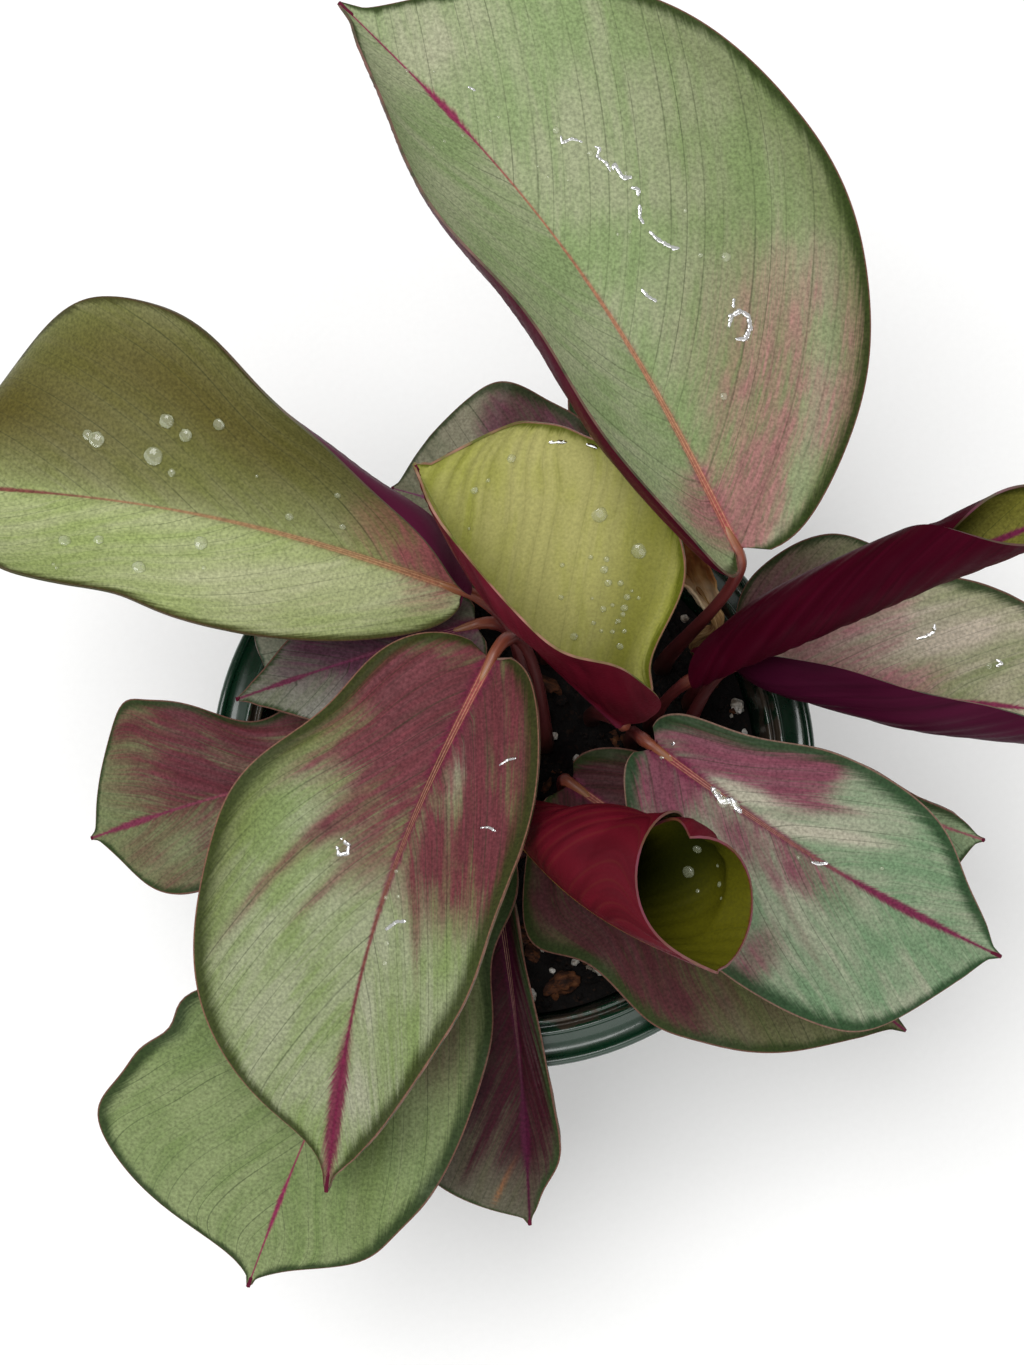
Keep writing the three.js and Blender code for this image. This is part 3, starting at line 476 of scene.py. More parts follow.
# Water left by a sprinkling. A drop is its place across and along the blade, as shares, and
# its radius in millimetres. A run is its half width in millimetres and the places it passes.
WATER = {
    "back_large": (
        ((-0.02, 0.861, 0.55), (0.12, 0.833, 0.35), (-0.38, 0.743, 0.35), (-0.23, 0.743, 0.5),
         (-0.06, 0.736, 0.45), (0.15, 0.722, 0.35), (0.08, 0.715, 0.35), (0.12, 0.632, 0.35),
         (0.12, 0.611, 0.35), (0.17, 0.59, 0.35), (0.44, 0.458, 0.5), (0.48, 0.375, 1.1),
         (0.4, 0.396, 0.6), (0.19, 0.486, 0.4), (0.23, 0.479, 0.4), (0.35, 0.548, 0.5),
         (0.27, 0.655, 0.8), (0.25, 0.21, 0.9), (0.3, 0.6, 0.7)),
        ((0.3, (0.17, 0.785), (0.18, 0.772)),
         (0.35, (0.27, 0.646), (0.25, 0.636), (0.29, 0.632), (0.31, 0.618)),
         (0.4, (0.33, 0.604), (0.34, 0.597), (0.31, 0.59), (0.32, 0.575), (0.31, 0.562)),
         (0.55, (0.32, 0.562), (0.34, 0.568), (0.33, 0.545), (0.36, 0.538)),
         (0.45, (0.33, 0.528), (0.35, 0.52), (0.33, 0.512)),
         (0.45, (0.32, 0.503), (0.31, 0.497), (0.29, 0.486), (0.29, 0.476)),
         (0.5, (0.29, 0.465), (0.295, 0.45), (0.31, 0.438), (0.33, 0.425), (0.35, 0.42)),
         (0.45, (0.15, 0.404), (0.155, 0.39), (0.175, 0.375)),
         (0.6, (0.38, 0.272), (0.42, 0.265), (0.455, 0.274), (0.465, 0.29), (0.44, 0.302),
          (0.4, 0.302), (0.375, 0.29)),
         (0.4, (0.44, 0.322), (0.42, 0.31)))),
    "left_large": (
        ((0.44, 0.562, 1.7), (0.4, 0.528, 1.5), (0.54, 0.479, 1.4), (0.29, 0.674, 1.9),
         (0.31, 0.69, 1.2), (0.19, 0.542, 0.95), (-0.48, 0.701, 1.5), (-0.25, 0.472, 1.6),
         (-0.65, 0.569, 1.6), (-0.46, 0.458, 0.55), (0.12, 0.333, 1.0), (0.17, 0.243, 0.8),
         (0.38, 0.271, 0.8), (-0.77, 0.708, 0.45), (-0.81, 0.701, 0.45), (0.33, 0.403, 0.4),
         (-0.44, 0.646, 1.2), (0.25, 0.576, 2.2)),
        ()),
    "centre_cupped": (
        ((0.6, 0.847, 1.0), (0.27, 0.833, 0.9), (0.38, 0.833, 0.5), (0.1, 0.75, 0.4),
         (0.69, 0.542, 1.9), (0.75, 0.375, 1.8), (0.52, 0.444, 0.6), (0.58, 0.41, 0.7),
         (0.54, 0.389, 0.95), (0.52, 0.347, 0.9), (0.58, 0.326, 0.75), (0.38, 0.479, 0.6),
         (0.27, 0.403, 0.65), (0.58, 0.278, 0.8), (0.62, 0.285, 0.4), (0.65, 0.257, 0.45),
         (0.4, 0.34, 0.4), (0.48, 0.285, 0.5), (0.42, 0.292, 0.8), (0.54, 0.257, 0.9),
         (0.52, 0.243, 0.65), (0.48, 0.236, 0.6), (0.33, 0.278, 0.55), (0.35, 0.243, 0.5),
         (0.42, 0.222, 0.6), (0.52, 0.201, 0.6), (0.46, 0.236, 0.35), (0.48, 0.174, 0.85),
         (0.19, 0.285, 1.0)),
        ((0.45, (0.83, 0.826), (0.87, 0.814), (0.9, 0.8)),
         (0.45, (0.94, 0.771), (0.945, 0.757), (0.945, 0.743)))),
    "front_left_large": (
        ((-0.15, 0.535, 0.7), (-0.19, 0.569, 0.6), (-0.12, 0.45, 0.5), (0.02, 0.02, 0.5),
         (-0.03, 0.41, 0.5), (-0.02, 0.46, 0.5)),
        ((0.5, (-0.25, 0.486), (-0.17, 0.493), (-0.1, 0.514)),
         (0.35, (-0.58, 0.174), (-0.65, 0.16), (-0.75, 0.153)),
         (0.35, (-0.58, 0.285), (-0.65, 0.278), (-0.73, 0.28)),
         (0.5, (0.33, 0.39), (0.27, 0.396), (0.26, 0.41), (0.3, 0.417), (0.33, 0.404)))),
    "front_right_large": (
        ((0.1, 0.035, 0.5), (0.0, 0.19, 1.1), (0.04, 0.215, 1.4), (0.0, 0.24, 1.5),
         (0.06, 0.438, 0.5), (-0.25, 0.625, 0.5)),
        ((0.9, (-0.03, 0.17), (0.01, 0.19), (0.04, 0.212), (-0.03, 0.23), (0.01, 0.25),
          (0.02, 0.268)),
         (0.4, (0.1, 0.035), (0.02, 0.04), (-0.06, 0.05)),
         (0.35, (-0.29, 0.042), (-0.4, 0.049)),
         (0.45, (0.04, 0.47), (0.02, 0.49), (-0.03, 0.508)))),
    "right_folded": (
        ((-0.33, 0.62, 0.8),),
        ((0.5, (-0.45, 0.43), (-0.48, 0.455), (-0.53, 0.472), (-0.6, 0.472)),
         (0.45, (-0.33, 0.635), (-0.38, 0.653), (-0.4, 0.634)))),
    "centre_funnel": (
        ((-0.67, 0.701, 1.0), (-0.54, 0.674, 1.4), (-0.5, 0.778, 0.7), (-0.44, 0.715, 0.5),
         (-0.58, 0.76, 0.4), (-0.46, 0.806, 0.4)),
        ()),
}


def linear(code):
    """A six-digit sRGB hex colour as linear red, green and blue."""
    parts = [int(code[k:k + 2], 16) / 255 for k in (0, 2, 4)]
    return tuple(c / 12.92 if c <= 0.04045 else ((c + 0.055) / 1.055) ** 2.4 for c in parts)


def rgba(code):
    """The same colour with full alpha, for a colour socket."""
    return (*linear(code), 1.0)


def mix(start, end, share):
    """The value at a share of the way from start to end."""
    return start + (end - start) * share


def unit(vectors):
    """Vectors along the last axis, each made one long."""
    return vectors / np.maximum(np.linalg.norm(vectors, axis=-1, keepdims=True), 1e-9)


# Blade shape


def outline(leaf, t):
    """Share of the full half width at places t: a round shoulder, then a drawn-out point."""
    belly = leaf["belly"]
    shoulder = np.sqrt(np.clip(1 - (1 - t / belly) ** 2, 0, 1))
    u = np.clip((t - belly) / (1 - belly), 0, 1)
    body = np.clip(1 - np.minimum(1, u / TAPER_CLOSE) ** leaf["taper"], 0, 1) ** TAPER_POWER
    point = POINT_WIDTH * np.minimum(1, (1 - u) / POINT_LENGTH)
    tapered = np.hypot(body, point) / math.hypot(1, POINT_WIDTH)
    return np.where(t < belly, shoulder, tapered)


def half_width(leaf, t, side):
    """Half width of the blade in millimetres at places t, left or right of the midrib."""
    full = leaf["wide"][0 if side == "left" else 1]
    for where, swell, reach in leaf[side + "_swell"]:
        full = full + swell * np.exp(-((t - where) / reach) ** 2)
    return full * outline(leaf, t) + mix(NECK_HALF_WIDTH, POINT_HALF_WIDTH, t)


def blade_length(leaf):
    """Straight length of the blade in millimetres, from its base to its tip."""
    return np.linalg.norm(np.subtract(leaf["tip"], leaf["base"]))


def midrib(leaf, t):
    """The midrib's place and its directions along, right and up at places t."""
    t = np.atleast_1d(t)[:, None]
    base = np.array(leaf["base"], float)
    chord = np.array(leaf["tip"], float) - base
    heading = unit(chord)
    rise = np.array(leaf["face"], float)
    rise = unit(rise - heading * rise.dot(heading))
    side = np.cross(heading, rise)
    bow = rise * leaf["arch"] + side * leaf["sway"]
    point = base + chord * t + bow * np.sin(math.pi * t)
    along = unit(chord + bow * math.pi * np.cos(math.pi * t))
    right = unit(np.cross(along, rise))
    return point, along, right, np.cross(right, along)


def half_section(leaf, t, side, shares):
    """Half of the cross-section at one place: out, up and turned angle at each share."""
    width = float(half_width(leaf, np.array(t), side))
    ends = np.array(leaf[side], float), np.array(leaf[side + "_tip"], float)
    lift, curl, hook = np.radians(mix(*ends, t))
    radius = None
    if leaf["roll"]:
        wanted = mix(*leaf["roll"], t) * (ROLL_INNER if side == "left" else 1)
        radius = max(wanted, width / math.radians(ROLL_LIMIT[side]))

    def turn(share):
        if radius:
            return lift + share * width / radius
        return lift + curl * share + hook * share ** 4

    steps = np.linspace(0, 1, SECTION_STEPS + 1)
    middles = (steps[1:] + steps[:-1]) / 2
    step = width / SECTION_STEPS
    out = np.concatenate([[0], np.cumsum(np.cos(turn(middles)) * step)])
    up = np.concatenate([[0], np.cumsum(np.sin(turn(middles)) * step)])
    return np.interp(shares, steps, out), np.interp(shares, steps, up), turn(shares)


def vein_start(leaf, t, s):
    """Share of the midrib at which the lateral vein through each place leaves it. A vein
    slants towards the tip, and the more so the nearer to the tip it leaves the midrib."""
    return t - VEIN_SLANT * (1 + t) * np.abs(s) * outline(leaf, t)


def blade_surface(leaf, t, s):
    """Middle surface of the blade in millimetres, at rows t and columns s."""
    point, along, right, up = midrib(leaf, t)
    places = np.zeros((len(t), len(s), 3))
    shares = np.abs(s)
    height, count, phase = leaf["wave"]
    for side, sign in (("left", -1), ("right", 1)):
        columns = s < 0 if side == "left" else s >= 0
        share = shares[columns]
        lead = 0 if side == "left" else WAVE_LEAD
        for row, place in enumerate(t):
            out, rise, angle = half_section(leaf, place, side, share)
            full = float(outline(leaf, np.array(place)))
            face = (np.cos(angle)[:, None] * up[row]
                    - sign * np.sin(angle)[:, None] * right[row])
            ripple = (height * share ** 2 * min(1, WAVE_FULL * full)
                      * math.sin(2 * math.pi * (count * place + phase + lead)))
            lobe = (leaf["lobe"] * max(0, 1 - place / LOBE_REACH) ** 2 * math.sqrt(full)
                    * share ** 1.5)
            places[row, columns] = (point[row] + sign * out[:, None] * right[row]
                                    + rise[:, None] * up[row] - lobe[:, None] * along[row]
                                    + ripple[:, None] * face)
    return places


def patches(leaf, t, s, streaks, clouds=()):
    """Strength of the wanted streaks and clouds of colour at each place of the blade."""
    start = vein_start(leaf, t, s)
    left_over = np.ones_like(t)
    for where, side, reach_along, reach_across, strength in clouds:
        squared = ((t - where) / reach_along) ** 2 + ((s - side) / reach_across) ** 2
        left_over *= 1 - strength * np.exp(-CLOUD_FADE * squared ** CLOUD_POWER)
    for where, side, run, width, strength in streaks:
        middle = vein_start(leaf, np.array(where), np.array(side))
        across = (start - middle) / width
        along = (np.abs(s) - abs(side)) / run
        same_half = 1 / (1 + np.exp(-np.sign(side) * s * STREAK_END))
        left_over *= 1 - strength * np.exp(-across ** 2 - along ** 2) * same_half
    return 1 - left_over


# Modelling helpers


def deselect():
    """Leaves edit mode and selects nothing."""
    if bpy.context.object and bpy.context.object.mode != "OBJECT":
        bpy.ops.object.mode_set(mode="OBJECT")
    bpy.ops.object.select_all(action="DESELECT")


def pick(piece):
    """Makes one piece the only one selected."""
    deselect()
    piece.select_set(True)
    bpy.context.view_layer.objects.active = piece


def close_edit():
    """Turns every face outward and leaves edit mode."""
    bpy.ops.mesh.select_all(action="SELECT")
    bpy.ops.mesh.normals_make_consistent(inside=False)
    bpy.ops.object.mode_set(mode="OBJECT")


def apply_modifier(piece, kind, **settings):
    """Adds a modifier with its settings and applies it."""
    pick(piece)
    modifier = piece.modifiers.new(kind.title(), kind)
    for name, value in settings.items():
        setattr(modifier, name, value)
    bpy.ops.object.modifier_apply(modifier=modifier.name)


def wrapped_grid(name, columns, rows, place, closed=False):
    """A flat grid laid on a surface: place takes its shares across and along, and gives
    points in millimetres. A closed one is sewn together along its seam and at its poles."""
    deselect()
    bpy.ops.mesh.primitive_grid_add(x_subdivisions=columns, y_subdivisions=rows, size=2)
    piece = bpy.context.object
    piece.name = name
    piece.data.name = name
    flat = np.empty(3 * len(piece.data.vertices))
    piece.data.vertices.foreach_get("co", flat)
    flat = flat.reshape(-1, 3)
    points = place((flat[:, 0] + 1) / 2, (flat[:, 1] + 1) / 2) * MM
    piece.data.vertices.foreach_set("co", points.ravel())
    piece.data.update()
    if closed:
        bpy.ops.object.mode_set(mode="EDIT")
        bpy.ops.mesh.select_all(action="SELECT")
        bpy.ops.mesh.remove_doubles(threshold=1e-6)
        close_edit()
    return piece


def smooth(piece, angle):
    """Shades a piece smooth but for edges sharper than an angle in degrees."""
    pick(piece)
    bpy.ops.object.shade_smooth_by_angle(angle=math.radians(angle))


def keep_values(piece, **values):
    """Stores one number for each vertex under each name, for the materials to read."""
    for name, numbers in values.items():
        attribute = piece.data.attributes.new(name, "FLOAT", "POINT")
        attribute.data.foreach_set("value", np.asarray(numbers, np.float32))


def keep_flow(piece, u, v):
    """Stores how the veins run as a second UV map, from one pair for each vertex."""
    layer = piece.data.uv_layers.new(name="flow")
    corners = np.empty(len(piece.data.loops), np.int32)
    piece.data.loops.foreach_get("vertex_index", corners)
    layer.data.foreach_set("uv", np.stack([u[corners], v[corners]], 1).ravel())


def finish_piece(piece, slot, *nodes):
    """Says what the piece rides on and which solids it stands for. The slot, what it is
    finished in, is not used.
    """
    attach(piece, BODY)
    if nodes:
        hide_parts(*nodes)


def base_shape(kind, **settings):
    """Vertices and faces of a primitive that is modelled once and then copied."""
    deselect()
    getattr(bpy.ops.mesh, f"primitive_{kind}_add")(**settings)
    made = bpy.context.object
    vertices = np.array([v.co for v in made.data.vertices])
    faces = [tuple(p.vertices) for p in made.data.polygons]
    bpy.data.objects.remove(made)
    return vertices, faces


def joined_copies(name, copies):
    """One mesh out of many copies, each with its own vertices in millimetres and its faces."""
    vertices = []
    faces = []
    count = 0
    for own, own_faces in copies:
        vertices.append(own)
        faces.extend([tuple(count + corner for corner in face) for face in own_faces])
        count += len(own)
    mesh = bpy.data.meshes.new(name)
    mesh.from_pydata((np.concatenate(vertices) * MM).tolist(), [], faces)
    mesh.validate()
    piece = bpy.data.objects.new(name, mesh)
    bpy.context.scene.collection.objects.link(piece)
    return piece


# Materials


def node(tree, kind, inputs=None, output=0, **settings):
    """Adds a node with its settings and links, and gives back one of its outputs."""
    made = tree.nodes.new(kind)
    for name, value in settings.items():
        setattr(made, name, value)
    for key, value in (inputs or {}).items():
        if isinstance(value, bpy.types.NodeSocket):
            tree.links.new(value, made.inputs[key])
        else:
            made.inputs[key].default_value = value
    return made.outputs[output]


def reckon(tree, operation, *values, clamp=False):
    """One sum on numbers and on other nodes' outputs."""
    return node(tree, "ShaderNodeMath", dict(enumerate(values)), operation=operation,
                use_clamp=clamp)


def ranged(tree, value, source, target=(0.0, 1.0), soft=False):
    """A value moved from its source range to a target range and held inside it, evenly or
    with soft ends."""
    return node(tree, "ShaderNodeMapRange", {
        "Value": value, "From Min": source[0], "From Max": source[1],
        "To Min": target[0], "To Max": target[1]},
        interpolation_type="SMOOTHSTEP" if soft else "LINEAR")


def blend(tree, share, under, over):
    """One colour laid over another by a share."""
    return node(tree, "ShaderNodeMix", {0: share, 6: under, 7: over}, 2, data_type="RGBA")


def toned(tree, colour, factor):
    """A colour made darker or lighter by a factor."""
    return node(tree, "ShaderNodeVectorMath", {0: colour, 3: factor}, operation="SCALE")


def stretched(tree, vector, factors):
    """Coordinates scaled along each axis by its own factor."""
    return node(tree, "ShaderNodeVectorMath", {0: vector, 1: factors}, operation="MULTIPLY")


def clouded(tree, vector, scale, detail=2.0, roughness=0.5):
    """Soft noise between 0 and 1 on any coordinates."""
    return node(tree, "ShaderNodeTexNoise", {
        "Vector": vector, "Scale": scale, "Detail": detail, "Roughness": roughness})


def mottled(tree, place, size, detail=2.0, roughness=0.5):
    """Soft noise through the piece, whose largest clouds have a size in millimetres."""
    return clouded(tree, place, 1 / (size * MM), detail, roughness)


def celled(tree, place, size):
    """Distance from the middle of the nearest cell, with cells of a size in millimetres."""
    return node(tree, "ShaderNodeTexVoronoi", {"Vector": place, "Scale": 1 / (size * MM)})


def ramp(tree, value, stops):
    """A colour ramp's output for a value, through the given places and hex colours."""
    made = tree.nodes.new("ShaderNodeValToRGB")
    tree.links.new(value, made.inputs[0])
    elements = made.color_ramp.elements
    while len(elements) < len(stops):
        elements.new(0.5)
    for element, (where, code) in zip(elements, stops):
        element.position = where
        element.color = rgba(code)
    return made.outputs[0]


def new_material(name, **constants):
    """A material with its surface shader, whose even values sit on the shader's sockets."""
    material = bpy.data.materials.new(name)
    material.use_nodes = True
    tree = material.node_tree
    shader = tree.nodes["Principled BSDF"]
    for key, value in constants.items():
        shader.inputs[key.replace("_", " ")].default_value = value
    return material, tree, shader


def dress(tree, shader, colour=None, rough=None, relief=None):
    """Links a finish to its shader: its colour, its uneven roughness, and its relief as a
    height, a strength and a depth in millimetres."""
    if colour is not None:
        tree.links.new(colour, shader.inputs["Base Color"])
    if rough is not None:
        tree.links.new(rough, shader.inputs["Roughness"])
    if relief is not None:
        height, strength, depth = relief
        bump = node(tree, "ShaderNodeBump", {"Height": height, "Strength": strength,
                                             "Distance": depth * MM})
        tree.links.new(bump, shader.inputs["Normal"])


def leaf_texture(tree):
    """What the parts of a leaf's upper skin are mixed from: the values kept on its vertices,
    the count of its veins, and noise that runs along them or through the blade."""
    flow = node(tree, "ShaderNodeUVMap", uv_map="flow")
    place = node(tree, "ShaderNodeTexCoord", output="Object")
    # The deep and pale values carry painted shade and painted sheen beside the leaf's own tones
    skin = {key: node(tree, "ShaderNodeAttribute", output=2, attribute_name=key)
            for key in ("plum", "deep", "pale", "rib", "edge", "along", "spindle")}
    skin["count"] = node(tree, "ShaderNodeSeparateXYZ", {0: flow})

    # Streaks about one vein wide and 12 mm long, and hairs of about 1 mm by 8 mm
    skin["streaks"] = clouded(tree, stretched(tree, flow, (1.0, 0.09, 1)), 0.9, 3.0)
    skin["hairs"] = clouded(tree, stretched(tree, flow, (6.0, 0.13, 1)), 1.0, 3.0, 0.65)

    # Cells show as a grain of 0.7 mm and finer, and mottling as clouds of 22 mm
    skin["grain"] = mottled(tree, place, 0.7, 2.5)
    skin["cloud"] = mottled(tree, place, 22, 3.0)
    return skin


def green_and_silver(tree, look, skin):
    """The ground of a leaf: green that turns silver by noise and by the pale streaks, which
    carry painted sheen as well, and the deep colour, partly the leaf's own and partly painted
    shade."""
    silvering = reckon(tree, "ADD", skin["streaks"], skin["cloud"])
    silvering = reckon(tree, "MULTIPLY_ADD", skin["hairs"], 0.35, silvering)
    silvering = ranged(tree, silvering, (0.88, 1.45), soft=True)
    # The pale streaks, partly painted sheen, push the green towards silver
    silvering = reckon(tree, "MULTIPLY_ADD", silvering, 0.7, skin["pale"], clamp=True)
    colour = blend(tree, silvering, rgba(look["green"]), rgba(look["silver"]))
    # Painted shade: the deep streaks darken a blade where it faces away from the light, besides
    # laying its own deep tones
    return blend(tree, skin["deep"], colour, rgba(look["deep"]))


def flush(tree, look, skin, colour):
    """Pigment over a colour: its patches decide where, and noise feathers their edges."""
    ragged = reckon(tree, "ADD", skin["streaks"], -0.5)
    ragged = reckon(tree, "MULTIPLY_ADD", skin["hairs"], 0.9, ragged)
    ragged = reckon(tree, "MULTIPLY_ADD", skin["cloud"], 1.4, ragged)
    ragged = reckon(tree, "ADD", ragged, -1.15)
    near_patch = ranged(tree, skin["plum"], (0.0, 0.8))
    ragged = reckon(tree, "MULTIPLY", ragged, near_patch)
    ragged = reckon(tree, "MULTIPLY_ADD", ragged, 1.1, skin["plum"])
    ragged = reckon(tree, "MULTIPLY_ADD", skin["pale"], -0.6, ragged)
    share = ranged(tree, ragged, (0.04, 0.95), (0.0, 0.96), soft=True)
    tone = ranged(tree, skin["hairs"], (0.3, 0.7), (0.7, 1.4))
    return blend(tree, share, colour, toned(tree, linear(look["plum"]), tone))


def lateral_veins(tree, look, skin, spacing):
    """How dark the lateral veins are: a main one every spacing, each of its own strength,
    and faint ones three times as close."""
    main = reckon(tree, "PINGPONG", skin["count"], 0.5)
    main = ranged(tree, main, (0.08 / spacing, 0.36 / spacing), (1.0, 0.0), soft=True)
    which = reckon(tree, "ROUND", skin["count"])
    own = node(tree, "ShaderNodeTexWhiteNoise", {"W": which}, noise_dimensions="1D")
    own = ranged(tree, own, (0.0, 1.0), (0.3, 1.1))
    thin = reckon(tree, "MULTIPLY", skin["count"], 3.0)
    thin = reckon(tree, "PINGPONG", thin, 0.5)
    thin = ranged(tree, thin, (0.0, 0.75 / spacing), (1.0, 0.0), soft=True)
    fading = ranged(tree, skin["cloud"], (0.3, 0.6), (0.35, 1.0))
    fading = reckon(tree, "MULTIPLY", fading, own)
    veins = reckon(tree, "MULTIPLY", main, fading)
    veins = reckon(tree, "MULTIPLY_ADD", thin, 0.16, veins)
    return reckon(tree, "MULTIPLY", veins, look["streak"], clamp=True)


def margin(tree, look, skin, colour):
    """The margin over a colour: a dark green band with a ragged inner side, then a thin
    brown-pink line."""
    width = look["margin_mm"]
    wander = reckon(tree, "MULTIPLY_ADD", skin["hairs"], 3.0, skin["edge"])
    wander = reckon(tree, "MULTIPLY_ADD", skin["streaks"], 3.0, wander)
    band = ranged(tree, wander, (2.8 + 0.55 * width, 3.6 + 1.5 * width), (0.92, 0.0), soft=True)
    colour = blend(tree, band, colour, rgba(look["margin"]))
    line = ranged(tree, skin["edge"], (0.15, 0.5), (0.9, 0.0), soft=True)
    return blend(tree, line, colour, rgba(look["edge"]))


def coloured_rib(tree, look, skin, colour):
    """The midrib over a colour: plum hairs beside it, a coral core with pale hairlines, and
    the magenta spindle near the tip."""
    first, second, third = look["ribs"]
    beside = ranged(tree, skin["rib"], (0.8, 3.4), (look["rib_flush"], 0.0))
    beside = reckon(tree, "MULTIPLY", beside, skin["hairs"])
    beside = ranged(tree, beside, (0.08, 0.5), (0.0, 0.8), soft=True)
    colour = blend(tree, beside, colour, rgba(third))
    rib_colour = ramp(tree, skin["along"], ((0.02, first), (0.2, second), (0.6, second),
                                            (0.75, third)))
    core = ranged(tree, skin["rib"], (0.5, 1.15), (0.9, 0.0), soft=True)
    colour = blend(tree, core, colour, rib_colour)
    hairline = reckon(tree, "PINGPONG", skin["rib"], 0.3)
    hairline = ranged(tree, hairline, (0.0, 0.13), (0.45, 0.0))
    hairline = reckon(tree, "MULTIPLY", hairline, core)
    fewer = ranged(tree, skin["along"], (0.25, 0.6), (1.0, 0.0))
    hairline = reckon(tree, "MULTIPLY", hairline, fewer)
    colour = blend(tree, hairline, colour, rgba("d8b084"))
    spindle = reckon(tree, "MULTIPLY_ADD", skin["hairs"], 0.9, -0.45)
    spindle = reckon(tree, "ADD", spindle, skin["spindle"])
    spindle = ranged(tree, spindle, (0.22, 0.75), (0.0, 0.95), soft=True)
    return blend(tree, spindle, colour, rgba(third))


def blade_upper(name, look, spacing):
    """Living leaf, waxy upper skin: satin, with a fine silvery grain of cells, dark hairline
    veins of uneven strength, pigment that runs along them in soft streaks, a coral midrib
    that turns to a magenta spindle near the tip, and a dark band at the margin."""
    material, tree, shader = new_material(f"calathea_leaf_upper_{name}",
                                          Specular_IOR_Level=0.08)
    skin = leaf_texture(tree)
    colour = green_and_silver(tree, look, skin)
    colour = flush(tree, look, skin, colour)
    veins = lateral_veins(tree, look, skin, spacing)
    colour = blend(tree, veins, colour, blend(tree, 0.75, colour, rgba("26301c")))
    colour = margin(tree, look, skin, colour)
    colour = coloured_rib(tree, look, skin, colour)

    # The grain is deeper on a blade with strong veins
    depth = 0.08 + 0.3 * look["streak"]
    tone = ranged(tree, skin["grain"], (0.3, 0.7), (1 - depth, 1 + depth))
    rough = ranged(tree, skin["grain"], (0.3, 0.7), (0.52, 0.36))
    height = reckon(tree, "MULTIPLY_ADD", veins, -0.8, skin["grain"])
    dress(tree, shader, toned(tree, colour, tone), rough, (height, 0.2, 0.12))
    return material


def blade_under(name, look, spacing):
    """Living leaf, underside: matt wine red from pigment, with paler veins pressed outward
    and a lighter midrib."""
    material, tree, shader = new_material(f"calathea_leaf_underside_{name}",
                                          Specular_IOR_Level=0.04)
    flow = node(tree, "ShaderNodeUVMap", uv_map="flow")
    place = node(tree, "ShaderNodeTexCoord", output="Object")
    count = node(tree, "ShaderNodeSeparateXYZ", {0: flow})
    rib = node(tree, "ShaderNodeAttribute", output=2, attribute_name="rib")
    streaks = clouded(tree, stretched(tree, flow, (1.5, 0.06, 1)), 1.0, 3.0)
    grain = mottled(tree, place, 0.9, 1.5)
    tone = ranged(tree, streaks, (0.3, 0.7), (0.75, 1.35))
    colour = toned(tree, linear(look["under"]), tone)
    main = reckon(tree, "PINGPONG", count, 0.5)
    main = ranged(tree, main, (0.1 / spacing, 0.7 / spacing), (0.2 * look["streak"], 0.0),
                  soft=True)
    core = ranged(tree, rib, (0.5, 1.3), (0.8, 0.0), soft=True)
    pale = reckon(tree, "MAXIMUM", main, core)
    colour = blend(tree, pale, colour, rgba(look["under_rib"]))
    rough = ranged(tree, grain, (0.3, 0.7), (0.5, 0.38))
    height = reckon(tree, "MULTIPLY_ADD", main, 1.5, grain)
    dress(tree, shader, colour, rough, (height, 0.3, 0.12))
    return material


def blade_edge(name, look):
    """Cut side of the blade: dry, brown-pink and a little uneven."""
    material, tree, shader = new_material(f"calathea_leaf_edge_{name}", Roughness=0.55)
    place = node(tree, "ShaderNodeTexCoord", output="Object")
    patchy = mottled(tree, place, 6)
    dress(tree, shader, ramp(tree, patchy, ((0.35, look["edge"]), (0.65, look["margin"]))))
    return material


def dried_blade():
    """Dead leaf: papery, tan, with brown blotches, darker veins and fine wrinkles."""
    material, tree, shader = new_material("dried_leaf_paper", Roughness=0.78,
                                          Specular_IOR_Level=0.3)
    flow = node(tree, "ShaderNodeUVMap", uv_map="flow")
    place = node(tree, "ShaderNodeTexCoord", output="Object")
    fibres = clouded(tree, stretched(tree, flow, (3.0, 0.12, 1)), 1.0, 5.0)
    blotch = mottled(tree, place, 13, 4.0)
    colour = ramp(tree, blotch, ((0.36, "e2cba6"), (0.5, "b98d55"), (0.62, "8a5426"),
                                 (0.74, "4e2a14")))
    tone = ranged(tree, fibres, (0.35, 0.65), (0.72, 1.1))
    dress(tree, shader, toned(tree, colour, tone), relief=(fibres, 0.6, 0.5))
    return material


def stalk_skin(settings):
    """Leaf stalk: smooth satin skin, maroon over green, orange-brown at the joint below the
    blade, with fine lengthwise fibres about 0.4 mm apart."""
    material, tree, shader = new_material("calathea_petiole_skin", Specular_IOR_Level=0.5,
                                          Coat_Weight=0.15, Coat_Roughness=0.2)
    flow = node(tree, "ShaderNodeUVMap", uv_map="flow")
    along = node(tree, "ShaderNodeSeparateXYZ", {0: flow}, 1)
    fibres = clouded(tree, stretched(tree, flow, (30.0, 6.0, 1)), 1.0, 3.0)
    colour = ramp(tree, along, ((0.0, "3a2a18"), (0.25, "4a1a1c"), (0.7, "5e201e"),
                                (0.86, "8a4a2c"), (0.96, "9c6a40"), (1.0, "a9864e")))
    tone = ranged(tree, fibres, (0.3, 0.7), (0.7, 1.25))
    colour = blend(tree, 0.25, toned(tree, colour, tone), (*settings.colour, 1))
    rough = ranged(tree, fibres, (0.0, 1.0), (0.3, 0.55))
    dress(tree, shader, colour, rough, (fibres, 0.3, 0.2))
    return material


